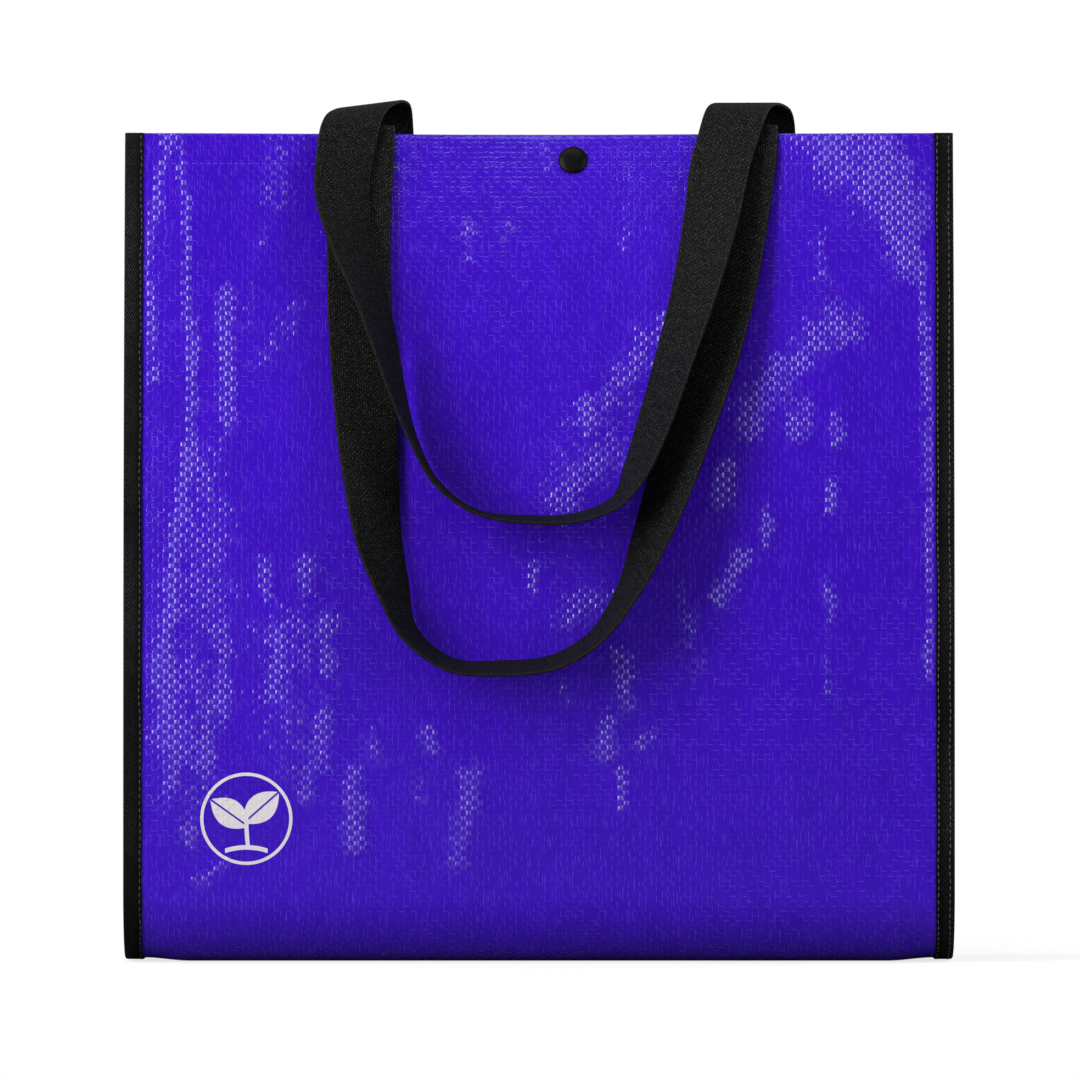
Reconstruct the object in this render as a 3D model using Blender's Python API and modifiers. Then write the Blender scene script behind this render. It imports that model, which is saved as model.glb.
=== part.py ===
"""A square shopping bag of laminated woven tape: one wrapped sheet makes the front, the base and the
back, two folded gussets make the sides, black tape binds the seams, and two webbing handles and a plastic
snap are at the rim. X is the width, -Y the front, Z up; the origin is the middle of the base, on the floor.
"""

import math

import bmesh
import bpy
from mathutils import Vector

# Driving sizes of the bag, in metres.
WIDTH = 0.400
HEIGHT = 0.400
DEPTH = 0.150
CORNER_RADIUS = 0.034
CLEARANCE = 0.0003

# How it stands: half closed at the rim, the panels a little round, the rim drawn in at the middle.
RIM_FOLD = math.radians(52)
RIM_BOW = 0.024
BELLY = 0.006
SIDE_LIFT = 0.0016
SIDE_LIFT_RUN = 0.022

# Sheet, seams and hems.
SHEET = 0.0004
HEM_DEPTH = 0.020
HEM_RADIUS = 0.0006
HEM_END = 0.006
BINDING_WIDTH = 0.009
BINDING_SHEET = 0.0005

# Webbing handles.
STRAP_WIDTH = 0.031
STRAP_SHEET = 0.0015
STRAP_SEWN = 0.038
STRAP_SEAT = 0.0008
STRAP_ARCH = 0.0036

# Snap.
SNAP_X = 0.0164
SNAP_DROP = 0.0128
SNAP_CAP_RADIUS = 0.007
SNAP_CAP_HEIGHT = 0.0026
SNAP_INNER_RADIUS = 0.0054
SNAP_KNOB_RADIUS = 0.0023
SNAP_KNOB_HEIGHT = 0.0030

# Lines worked out from the sizes above.
BINDING_RADIUS = SHEET + 1.5 * CLEARANCE + BINDING_SHEET / 2
EDGE_X = WIDTH / 2 - BINDING_RADIUS - BINDING_SHEET / 2
SEAM_X = WIDTH / 2 - BINDING_WIDTH - CLEARANCE
BASE_HALF = DEPTH / 2 - CORNER_RADIUS
CORNER_RUN = CORNER_RADIUS * math.pi / 2
RIM_RUN = BASE_HALF + CORNER_RUN + HEIGHT - CORNER_RADIUS

# Offsets of a strap's middle from the outer face: sewn inside on the hem, and just outside the rim.
STRAP_INSIDE = 2 * HEM_RADIUS + STRAP_SEAT + STRAP_SHEET / 2
STRAP_OUTSIDE = STRAP_SEAT + STRAP_SHEET / 2

VIOLET = (0.035, 0.006, 0.45)
BLACK = (0.010, 0.010, 0.011)


def material(name, colour, roughness):
    made = bpy.data.materials.new(name)
    made.use_nodes = True
    shader = made.node_tree.nodes["Principled BSDF"]
    shader.inputs["Base Color"].default_value = (*colour, 1.0)
    shader.inputs["Roughness"].default_value = roughness
    shader.inputs["Metallic"].default_value = 0.0
    return made


def rise(z):
    """0 where the walls leave the rounded base edge, 1 at the rim."""
    return min(max((z - CORNER_RADIUS) / (HEIGHT - CORNER_RADIUS), 0.0), 1.0)


def fold_angle(z):
    """How far each half of a gusset has swung in at this height."""
    return RIM_FOLD * rise(z) ** 1.3


def half_depth(z):
    return DEPTH / 2 * math.cos(fold_angle(z))


def tuck(z):
    """How far in the middle crease of a gusset lies."""
    return DEPTH / 2 * math.sin(fold_angle(z))


def panel_reach(x, z):
    """Distance of the front and back panels' outer face from the bag's middle plane."""
    across = min(abs(x) / SEAM_X, 1.0)
    belly = BELLY * math.sin(math.pi * rise(z)) * (1 - across**2)
    bow = RIM_BOW * rise(z) ** 3 * math.cos(math.pi / 2 * across) ** 2
    return half_depth(z) + belly - bow


def side_lift(x):
    """The base rises a little towards its side seams, so that the bag stands on its middle."""
    share = min(max((abs(x) - SEAM_X + SIDE_LIFT_RUN) / SIDE_LIFT_RUN, 0.0), 1.0)
    return SIDE_LIFT * share * share * (3 - 2 * share)


def sheet_point(x, run):
    """A point of the wrapped sheet's outer face. The run is the distance along the sheet from the middle
    of the base, negative towards the front."""
    side = math.copysign(1.0, run)
    along = abs(run)
    if along <= BASE_HALF:
        y, z = along, 0.0
    elif along <= BASE_HALF + CORNER_RUN:
        turn = (along - BASE_HALF) / CORNER_RADIUS
        y = BASE_HALF + CORNER_RADIUS * math.sin(turn)
        z = CORNER_RADIUS * (1 - math.cos(turn))
    else:
        z = along - RIM_RUN + HEIGHT
        y = panel_reach(x, z)
    z += side_lift(x) * max(0.0, 1 - z / CORNER_RADIUS)
    return Vector((x, side * y, z))


def inward(x, run):
    """Unit vector square to the sheet along its run, into the bag."""
    step = 0.001
    below = max(run - step, -RIM_RUN)
    above = min(run + step, RIM_RUN)
    along = sheet_point(x, above) - sheet_point(x, below)
    return Vector((0.0, -along.z, along.y)).normalized()


def even(start, end, count):
    return [start + (end - start) * step / count for step in range(count + 1)]


def sheet_runs(wall_steps, corner_steps, base_steps):
    """Runs of the rows of a seam or sheet, from the front rim under the base to the back rim."""
    wall = even(BASE_HALF + CORNER_RUN, RIM_RUN - HEM_DEPTH, wall_steps)
    corner = even(BASE_HALF, BASE_HALF + CORNER_RUN, corner_steps)
    half = corner[:-1] + wall + [RIM_RUN]
    base = even(-BASE_HALF, BASE_HALF, base_steps)
    return [-run for run in reversed(half)] + base[1:-1] + half


def grid_mesh(name, grid):
    """An open surface from rows of points. None leaves a point out, and points that meet are joined."""
    shape = bmesh.new()
    rows = [[None if point is None else shape.verts.new(point) for point in row] for row in grid]
    for upper, lower in zip(rows, rows[1:]):
        for a, b, c, d in zip(upper, upper[1:], lower[1:], lower):
            if None not in (a, b, c, d):
                shape.faces.new((a, d, c, b))
    bmesh.ops.remove_doubles(shape, verts=shape.verts, dist=1e-6)
    mesh = bpy.data.meshes.new(name)
    shape.to_mesh(mesh)
    shape.free()
    return mesh


def add_object(name, mesh, finish, collection):
    mesh.materials.append(finish)
    mesh.shade_smooth()
    mesh.set_sharp_from_angle(angle=math.radians(40))
    made = bpy.data.objects.new(name, mesh)
    collection.objects.link(made)
    return made


def add_sheet(name, grid, thickness, offset, finish, collection):
    """A sheet of cloth or tape: the grid is its outer face, or its middle where the offset is 0."""
    made = add_object(name, grid_mesh(name, grid), finish, collection)
    solidify = made.modifiers.new("Thickness", "SOLIDIFY")
    solidify.thickness = thickness
    solidify.offset = offset
    return made


def hem_arc():
    """Steps of a hem over the rim: how far in and how far below the rim each row is."""
    turns = even(0.0, math.pi, 4)[1:]
    over = [(HEM_RADIUS * (1 - math.cos(turn)), HEM_RADIUS * (1 - math.sin(turn))) for turn in turns]
    return over + [(2 * HEM_RADIUS, HEM_DEPTH)]


def hem_rows(columns, place):
    """Rows of points of one hem, from its fold at the rim to its free edge inside the bag."""
    return [[place(column, inset, drop) for column in columns] for inset, drop in hem_arc()]


def add_body(finish, collection):
    """Front, base and back in one sheet. The hems stop short of the seams."""
    inner_x = SEAM_X - HEM_END
    columns = [-EDGE_X, -SEAM_X] + even(-inner_x, inner_x, 16) + [SEAM_X, EDGE_X]
    rows = [[sheet_point(x, run) for x in columns] for run in sheet_runs(8, 4, 2)]
    for row in (rows[0], rows[-1]):
        for point in row:
            point.z -= HEM_RADIUS if abs(point.x) < SEAM_X - HEM_END / 2 else 0.0

    def hem_point(side):
        def place(x, inset, drop):
            if abs(x) > inner_x + CLEARANCE:
                return None
            z = HEIGHT - drop
            return Vector((x, side * (panel_reach(x, z) - inset), z))

        return place

    front = hem_rows(columns, hem_point(-1))
    back = hem_rows(columns, hem_point(1))
    return add_sheet("body", list(reversed(front)) + rows + back, SHEET, -1.0, finish, collection)


def wall_x(y, z):
    """Where a gusset's wall lies: out at its seams, and in at its middle crease."""
    return SEAM_X - tuck(z) * (1 - min(abs(y) / half_depth(z), 1.0))


def add_gusset(name, side, finish, collection):
    """A side panel. Its edge turns out and lies on the body sheet's edge, under the binding. Each row runs
    from that edge to the middle crease, and the rows of the front and back halves meet there."""
    shares = (0.06, 0.28, 0.52, 0.76, 1.0)
    seat = 2 * SHEET + CLEARANCE
    runs = sheet_runs(8, 4, 4)
    middle = len(runs) // 2
    crease_foot = CORNER_RADIUS * 0.8
    rows = []
    for index, run in enumerate(runs):
        along = inward(SEAM_X, run)
        edge = sheet_point(EDGE_X, run) + along * seat
        seam = sheet_point(SEAM_X, run) + along * seat
        height = abs(index - middle) / middle
        crease = Vector((0.0, 0.0, crease_foot + (HEIGHT - crease_foot) * height))
        if abs(run) > BASE_HALF + CORNER_RUN:
            crease.z = max(seam.z, crease_foot)
        wall = []
        for share in shares:
            place = seam.lerp(crease, share)
            wall.append(Vector((wall_x(place.y, place.z), place.y, place.z)))
        rows.append([edge, seam] + wall)
    spread = spine_heights(rows, crease_foot)
    for row, height in zip(rows, spread):
        for share, point in zip(shares, row[2:]):
            point.z = row[1].z + (height - row[1].z) * share
            point.x = wall_x(point.y, point.z)
    shift = 2 * HEM_RADIUS / math.cos(RIM_FOLD)

    def hem_point(row):
        def place(column, inset, drop):
            if column < 3:
                return None
            point = row[column]
            x = wall_x(point.y, HEIGHT - drop) - shift * inset / (2 * HEM_RADIUS)
            return Vector((x, point.y, HEIGHT - drop))

        return place

    columns = range(len(rows[0]))
    front = hem_rows(columns, hem_point(rows[0]))
    back = hem_rows(columns, hem_point(rows[-1]))
    for row in (rows[0], rows[-1]):
        for point in row[3:]:
            point.z = HEIGHT - HEM_RADIUS
    grid = list(reversed(front)) + rows + back
    if side < 0:
        turned = [reversed(row) for row in grid]
        grid = [[point and Vector((-point.x, point.y, point.z)) for point in row] for row in turned]
    return add_sheet(name, grid, SHEET, -1.0, finish, collection)


def spine_heights(rows, foot):
    """Heights at which the rows meet the middle crease: level on the walls, then fanned out round the
    rounded corners and along the base."""
    middle = len(rows) // 2
    level = [row[1].z for row in rows[: middle + 1]]
    first_low = next(index for index, z in enumerate(level) if z < 2.5 * CORNER_RADIUS)
    top = level[first_low - 1]
    fan = middle - first_low + 1
    half = level[:first_low] + [top + (foot - top) * (step + 1) / fan for step in range(fan)]
    return half + half[-2::-1]


def add_binding(name, side, finish, collection):
    """Tape folded over the edges of the sheet and the gusset, round the whole seam."""
    stack_middle = SHEET + CLEARANCE / 2
    turns = even(math.pi / 2, -math.pi / 2, 4)
    section = [(SEAM_X + CLEARANCE, BINDING_RADIUS)]
    for turn in turns:
        section.append((EDGE_X + BINDING_RADIUS * math.cos(turn), BINDING_RADIUS * math.sin(turn)))
    section.append((SEAM_X + CLEARANCE, -BINDING_RADIUS))
    rows = []
    for run in sheet_runs(8, 4, 2):
        along = inward(SEAM_X, run)
        foot = sheet_point(SEAM_X, run)
        row = []
        for x, out in section:
            point = foot + along * (stack_middle - out)
            row.append(Vector((side * x, point.y, point.z)))
        rows.append(row)
    return add_sheet(name, rows, BINDING_SHEET, 0.0, finish, collection)


def strap_section(station):
    """Middle and width direction of a strap at one station. The share is 1 on the front panel and -1 on
    the back one, and the heading and turn say where the strap's outer edge points."""
    x, drop, share, out, heading, turn = station
    z = HEIGHT - drop
    step = 0.001
    slope = share * (panel_reach(x - step, z) - panel_reach(x + step, z)) / (2 * step)
    heading = math.radians(heading)
    turn = math.radians(turn) - math.asin(slope * math.cos(heading))
    middle = Vector((x, -share * (panel_reach(x, z) + out), z))
    return (*middle, heading, turn)


def smooth_path(points, spacing):
    """Points along a smooth curve through the given ones, any number of values each."""
    lengths = [max(math.dist(a[:3], b[:3]), 1e-6) for a, b in zip(points, points[1:])]
    slopes = [[(b - a) / h for a, b in zip(p, q)] for p, q, h in zip(points, points[1:], lengths)]
    tangents = [slopes[0]]
    for before, after, h0, h1 in zip(slopes, slopes[1:], lengths, lengths[1:]):
        tangents.append([(a * h1 + b * h0) / (h0 + h1) for a, b in zip(before, after)])
    tangents.append(slopes[-1])
    path = [points[0]]
    for p, q, m, n, h in zip(points, points[1:], tangents, tangents[1:], lengths):
        count = max(3, round(h / spacing))
        for step in range(1, count + 1):
            t = step / count
            a = 2 * t**3 - 3 * t**2 + 1
            b = (t**3 - 2 * t**2 + t) * h
            c = 3 * t**2 - 2 * t**3
            d = (t**3 - t**2) * h
            path.append(tuple(a * i + b * j + c * k + d * l for i, j, k, l in zip(p, m, q, n)))
    return path


def add_strap(name, stations, finish, collection):
    """A webbing handle, swept along its stations."""
    rows = []
    for x, y, z, heading, turn in smooth_path([strap_section(each) for each in stations], 0.016):
        middle = Vector((x, y, z))
        flat = math.cos(turn)
        across = Vector((math.cos(heading) * flat, -math.sin(turn), math.sin(heading) * flat))
        rows.append([middle + across * STRAP_WIDTH * share for share in (-0.5, 0.0, 0.5)])
    return add_sheet(name, rows, STRAP_SHEET, 0.0, finish, collection)


def sewn_end(x, share, heading):
    """The end of a strap, sewn flat inside the rim."""
    drops = (STRAP_SEWN, 0.63 * STRAP_SEWN, 0.26 * STRAP_SEWN)
    return [(x, drop, share, -STRAP_INSIDE, heading, 0) for drop in drops]


def rim_arch(x, heading):
    """The strap folded closely over the rim, from inside to outside."""
    middle = (STRAP_OUTSIDE - STRAP_INSIDE) / 2
    half = (STRAP_OUTSIDE + STRAP_INSIDE) / 2
    turns = even(0.0, math.pi, 4)
    places = [(-STRAP_ARCH * math.sin(turn), middle - half * math.cos(turn)) for turn in turns]
    return [(x, drop, 1, out, heading, 0) for drop, out in places]


# Places of the four sewn ends across the bag.
FRONT_LEFT_X = -0.085
FRONT_RIGHT_X = 0.1005
BACK_LEFT_X = -0.0763
BACK_RIGHT_X = 0.1105

# The hanging parts: x, drop below the rim, share of the front, stand-off, heading and turn.
FRONT_LOOP = (
    (-0.0855, 0.012, 1, 0.0026, 180, 0),
    (-0.0870, 0.050, 1, 0.0040, 180, 1),
    (-0.0860, 0.095, 1, 0.0050, 181, 4),
    (-0.0830, 0.139, 1, 0.0080, 187, 15),
    (-0.0805, 0.168, 1, 0.0115, 190, 31),
    (-0.0766, 0.197, 1, 0.0145, 194, 46),
    (-0.0700, 0.220, 1, 0.0160, 202, 60),
    (-0.0622, 0.2410, 1, 0.0170, 222, 75),
    (-0.0440, 0.2558, 1, 0.0175, 252, 79),
    (-0.0164, 0.2580, 1, 0.0175, 270, 78),
    (0.0080, 0.2550, 1, 0.0175, 290, 78),
    (0.0270, 0.2435, 1, 0.0175, 315, 77),
    (0.0400, 0.2260, 1, 0.0170, 332, 72),
    (0.0530, 0.1967, 1, 0.0160, 337, 57),
    (0.0620, 0.1720, 1, 0.0150, 339, 46),
    (0.0725, 0.1400, 1, 0.0120, 343, 36),
    (0.0830, 0.1050, 1, 0.0085, 346, 22),
    (0.0920, 0.0640, 1, 0.0055, 350, 10),
    (0.0975, 0.0280, 1, 0.0035, 356, 2),
    (0.1000, 0.0100, 1, 0.0024, 360, 0),
)
BACK_LOOP = (
    (-0.0764, 0.0, -1, -0.0028, 180, 0),
    (-0.0768, -0.0065, -0.80, 0, 182, 0),
    (-0.0775, -0.0128, -0.55, 0, 185, 0),
    (-0.0800, -0.0150, -0.10, 0, 187, 0),
    (-0.0850, -0.0135, 0.45, 0, 187, 1),
    (-0.0890, -0.0095, 0.88, 0, 186, 4),
    (-0.0912, -0.0040, 1, 0.0042, 185, 7),
    (-0.0930, 0.0060, 1, 0.0082, 184, 12),
    (-0.0950, 0.0280, 1, 0.0120, 186, 24),
    (-0.0905, 0.0520, 1, 0.0165, 194, 42),
    (-0.0820, 0.0760, 1, 0.0195, 200, 55),
    (-0.0740, 0.1030, 1, 0.0210, 200, 65),
    (-0.0685, 0.1240, 1, 0.0205, 202, 74),
    (-0.0605, 0.1480, 1, 0.0190, 206, 83),
    (-0.0480, 0.1705, 1, 0.0180, 220, 86),
    (-0.0310, 0.1828, 1, 0.0175, 250, 87),
    (-0.0050, 0.1868, 1, 0.0175, 270, 84),
    (0.0230, 0.1848, 1, 0.0175, 282, 82),
    (0.0380, 0.1775, 1, 0.0180, 310, 79),
    (0.0460, 0.1640, 1, 0.0185, 333, 68),
    (0.0540, 0.1440, 1, 0.0185, 342, 60),
    (0.0640, 0.1130, 1, 0.0180, 344, 53),
    (0.0750, 0.0760, 1, 0.0155, 346, 41),
    (0.0830, 0.0420, 1, 0.0115, 350, 25),
    (0.0885, 0.0120, 1, 0.0080, 356, 10),
    (0.0918, 0.0010, 1, 0.0062, 357, 6),
    (0.0935, -0.0050, 1, 0.0036, 358, 4),
    (0.0955, -0.0105, 0.85, 0, 359, 2),
    (0.0990, -0.0148, 0.35, 0, 360, 0),
    (0.1045, -0.0150, -0.20, 0, 360, 0),
    (0.1085, -0.0120, -0.60, 0, 360, 0),
    (0.1100, -0.0060, -0.82, 0, 360, 0),
    (0.1104, 0.0, -1, -0.0028, 360, 0),
)


def front_handle():
    left = sewn_end(FRONT_LEFT_X, 1, 180) + rim_arch(FRONT_LEFT_X, 180)
    right = sewn_end(FRONT_RIGHT_X, 1, 360) + rim_arch(FRONT_RIGHT_X, 360)
    return left + list(FRONT_LOOP) + right[::-1]


def back_handle():
    left = sewn_end(BACK_LEFT_X, -1, 180)
    right = sewn_end(BACK_RIGHT_X, -1, 360)
    return left + list(BACK_LOOP) + right[::-1]


def add_turned(name, profile, finish, collection):
    """A round piece from its profile, which runs down its outer side from the axis to the axis."""
    mesh = bpy.data.meshes.new(name)
    edges = [(index, index + 1) for index in range(len(profile) - 1)]
    mesh.from_pydata([(radius, 0.0, z) for radius, z in profile], edges, [])
    made = bpy.data.objects.new(name, mesh)
    mesh.materials.append(finish)
    collection.objects.link(made)
    screw = made.modifiers.new("Turn", "SCREW")
    screw.steps = 24
    screw.render_steps = 24
    screw.use_merge_vertices = True
    screw.merge_threshold = 0.00001
    return made


def seat_on_panel(piece, side, out):
    """Puts a round piece on the front or back panel, its axis square to it, the given distance out."""
    z = HEIGHT - SNAP_DROP
    step = 0.001
    across = panel_reach(SNAP_X + step, z) - panel_reach(SNAP_X - step, z)
    up = panel_reach(SNAP_X, z + step) - panel_reach(SNAP_X, z - step)
    normal = Vector((-across, 2 * step, -up)).normalized()
    normal.y *= side
    place = Vector((SNAP_X, side * panel_reach(SNAP_X, z), z)) + normal * out
    facing = normal if out > 0 else -normal
    piece.location = place
    piece.rotation_euler = facing.to_track_quat("Z", "Y").to_euler()


def cap_profile():
    edge = 0.35 * SNAP_CAP_HEIGHT
    crown = [
        (SNAP_CAP_RADIUS * math.sin(turn), edge + (SNAP_CAP_HEIGHT - edge) * math.cos(turn))
        for turn in even(0.0, math.pi / 2, 6)
    ]
    crown[0] = (0.0, SNAP_CAP_HEIGHT)
    return crown + [(SNAP_CAP_RADIUS, 0.25 * edge), (0.97 * SNAP_CAP_RADIUS, 0.0), (0.0, 0.0)]


def stud_profile():
    flange = 0.3 * SNAP_KNOB_HEIGHT
    neck = 0.85 * SNAP_KNOB_RADIUS
    return [
        (0.0, SNAP_KNOB_HEIGHT),
        (0.75 * SNAP_KNOB_RADIUS, SNAP_KNOB_HEIGHT),
        (SNAP_KNOB_RADIUS, 0.8 * SNAP_KNOB_HEIGHT),
        (neck, 0.5 * SNAP_KNOB_HEIGHT),
        (neck, flange),
        (0.95 * SNAP_INNER_RADIUS, flange),
        (SNAP_INNER_RADIUS, 0.6 * flange),
        (SNAP_INNER_RADIUS, 0.0),
        (0.0, 0.0),
    ]


def socket_profile():
    well = SNAP_KNOB_RADIUS + CLEARANCE
    ring = 1.6 * well
    flange = 0.3 * SNAP_KNOB_HEIGHT
    return [
        (0.0, 0.5 * flange),
        (well, 0.5 * flange),
        (well, 0.9 * SNAP_KNOB_HEIGHT),
        (ring, 0.9 * SNAP_KNOB_HEIGHT),
        (ring, flange),
        (0.95 * SNAP_INNER_RADIUS, flange),
        (SNAP_INNER_RADIUS, 0.6 * flange),
        (SNAP_INNER_RADIUS, 0.0),
        (0.0, 0.0),
    ]


def add_snap(finish, collection):
    """The caps lie on the outer faces, the stud and the socket on the hems inside."""
    inside = 2 * HEM_RADIUS + CLEARANCE
    pieces = (
        ("snap_cap_front", cap_profile(), -1, CLEARANCE),
        ("snap_stud", stud_profile(), -1, -inside),
        ("snap_cap_back", cap_profile(), 1, CLEARANCE),
        ("snap_socket", socket_profile(), 1, -inside),
    )
    for name, profile, side, out in pieces:
        seat_on_panel(add_turned(name, profile, finish, collection), side, out)


def main():
    for old in list(bpy.data.objects):
        bpy.data.objects.remove(old, do_unlink=True)
    bag = bpy.data.collections.new("woven_shopping_bag")
    bpy.context.scene.collection.children.link(bag)
    laminate = material("violet laminate", VIOLET, 0.32)
    tape = material("black binding tape", BLACK, 0.55)
    webbing = material("black webbing", BLACK, 0.75)
    plastic = material("black plastic", BLACK, 0.35)
    add_body(laminate, bag)
    for name, side in (("left", -1), ("right", 1)):
        add_gusset("gusset_" + name, side, laminate, bag)
        add_binding("binding_" + name, side, tape, bag)
    add_strap("handle_front", front_handle(), webbing, bag)
    add_strap("handle_back", back_handle(), webbing, bag)
    add_snap(plastic, bag)


main()
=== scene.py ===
# %% [markdown]
# This bag is a square shopping bag of laminated woven tape. One sheet makes its front, base and back, two
# folded gussets make its sides, black tape binds the seams, and webbing handles and a snap are at the rim.
# The frame holds its solids in metres, with the origin at the middle of the base. Each cloth piece here is
# cut flat, given a UV map of its flat place, and then carried to where it lies on the made-up bag, so that
# the weave follows the cloth as it does on a real bag.

# %% Load the frame
import math

import bpy
from mathutils import Matrix, Vector, noise


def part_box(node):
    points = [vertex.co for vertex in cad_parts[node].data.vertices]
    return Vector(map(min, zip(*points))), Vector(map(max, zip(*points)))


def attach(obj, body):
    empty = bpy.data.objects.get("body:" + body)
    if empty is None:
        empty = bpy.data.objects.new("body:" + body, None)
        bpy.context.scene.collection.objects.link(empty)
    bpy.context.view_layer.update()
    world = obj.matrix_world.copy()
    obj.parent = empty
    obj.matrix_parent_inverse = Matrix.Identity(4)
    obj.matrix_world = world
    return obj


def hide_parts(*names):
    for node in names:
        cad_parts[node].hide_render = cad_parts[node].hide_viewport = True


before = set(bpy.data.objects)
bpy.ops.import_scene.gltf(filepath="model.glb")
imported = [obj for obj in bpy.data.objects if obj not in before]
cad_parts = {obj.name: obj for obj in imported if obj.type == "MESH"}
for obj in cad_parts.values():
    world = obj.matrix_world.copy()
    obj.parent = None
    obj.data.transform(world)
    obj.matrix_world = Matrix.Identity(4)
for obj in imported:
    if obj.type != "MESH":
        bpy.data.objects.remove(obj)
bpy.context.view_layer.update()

# %% [markdown]
# The bag's driving sizes. The height and width are read off the frame's nodes. The others are the sizes
# that the bag was designed with: how deep it is, how far its gussets have folded in at the rim, how the
# panels bow, and how its hems, seams, straps and snap are made.

# %% Sizes of the bag
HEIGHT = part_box("body")[1].z
WIDTH = 2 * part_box("binding_right")[1].x
DEPTH = 0.150
CORNER_RADIUS = 0.034
CLEARANCE = 0.0003
RIM_FOLD = math.radians(52)
RIM_BOW = 0.024
BELLY = 0.006
SIDE_LIFT = 0.0016
SIDE_LIFT_RUN = 0.022

SHEET = 0.0004
HEM_DEPTH = 0.020
HEM_RADIUS = 0.0006
HEM_END = 0.006
HEM_STITCH = 0.0148
BINDING_WIDTH = 0.009
BINDING_SHEET = 0.0005

STRAP_WIDTH = 0.031
STRAP_SHEET = 0.0015
STRAP_SEWN = 0.038
STRAP_SEAT = 0.0008
STRAP_ARCH = 0.0036

SNAP_X = 0.0164
SNAP_DROP = 0.0128
SNAP_CAP_RADIUS = 0.007
SNAP_CAP_HEIGHT = 0.0026
SNAP_INNER_RADIUS = 0.0054
SNAP_KNOB_RADIUS = 0.0023
SNAP_KNOB_HEIGHT = 0.0030

BINDING_RADIUS = SHEET + 1.5 * CLEARANCE + BINDING_SHEET / 2
EDGE_X = WIDTH / 2 - BINDING_RADIUS - BINDING_SHEET / 2
SEAM_X = WIDTH / 2 - BINDING_WIDTH - CLEARANCE
BASE_HALF = DEPTH / 2 - CORNER_RADIUS
CORNER_RUN = CORNER_RADIUS * math.pi / 2
RIM_RUN = BASE_HALF + CORNER_RUN + HEIGHT - CORNER_RADIUS
STRAP_INSIDE = 2 * HEM_RADIUS + STRAP_SEAT + STRAP_SHEET / 2
STRAP_OUTSIDE = STRAP_SEAT + STRAP_SHEET / 2
print(f"The bag is {WIDTH:.3f} m wide and {HEIGHT:.3f} m high")

# %% [markdown]
# The smooth shape of the standing bag. Each half of a gusset swings in towards the rim, which draws the two
# panels together, and the panels belly a little halfway up and bow inwards at the rim.


# %% The smooth shape of the panels
def limited(value, low=0.0, high=1.0):
    return min(max(value, low), high)


def eased(value):
    """0 to 1 with a soft start and end."""
    value = limited(value)
    return value * value * (3 - 2 * value)


def even(start, end, count):
    return [start + (end - start) * step / count for step in range(count + 1)]


def rise(z):
    return limited((z - CORNER_RADIUS) / (HEIGHT - CORNER_RADIUS))


def fold_angle(z):
    return RIM_FOLD * rise(z) ** 1.3


def half_depth(z):
    return DEPTH / 2 * math.cos(fold_angle(z))


def smooth_reach(x, z):
    """Distance of a panel's outer face from the bag's middle plane, before its folds."""
    across = min(abs(x) / SEAM_X, 1.0)
    belly = BELLY * math.sin(math.pi * rise(z)) * (1 - across**2)
    bow = RIM_BOW * rise(z) ** 3 * math.cos(math.pi / 2 * across) ** 2
    return half_depth(z) + belly - bow


# %% [markdown]
# Laminated tape is stiff, so the panels keep long upright folds from their time flat in a pack, and where
# they were creased the tapes have lifted a little from each other. It isn't worth a simulation, because
# where each fold lies is known: a streak is a line up the panel with a strength and a width. It lifts the
# sheet, and it is kept as an attribute of the cloth, so that the weave can be looser there. Finer
# unevenness is seeded noise, stretched upwards. All of it fades out at the bound seams and at the base.


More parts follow.
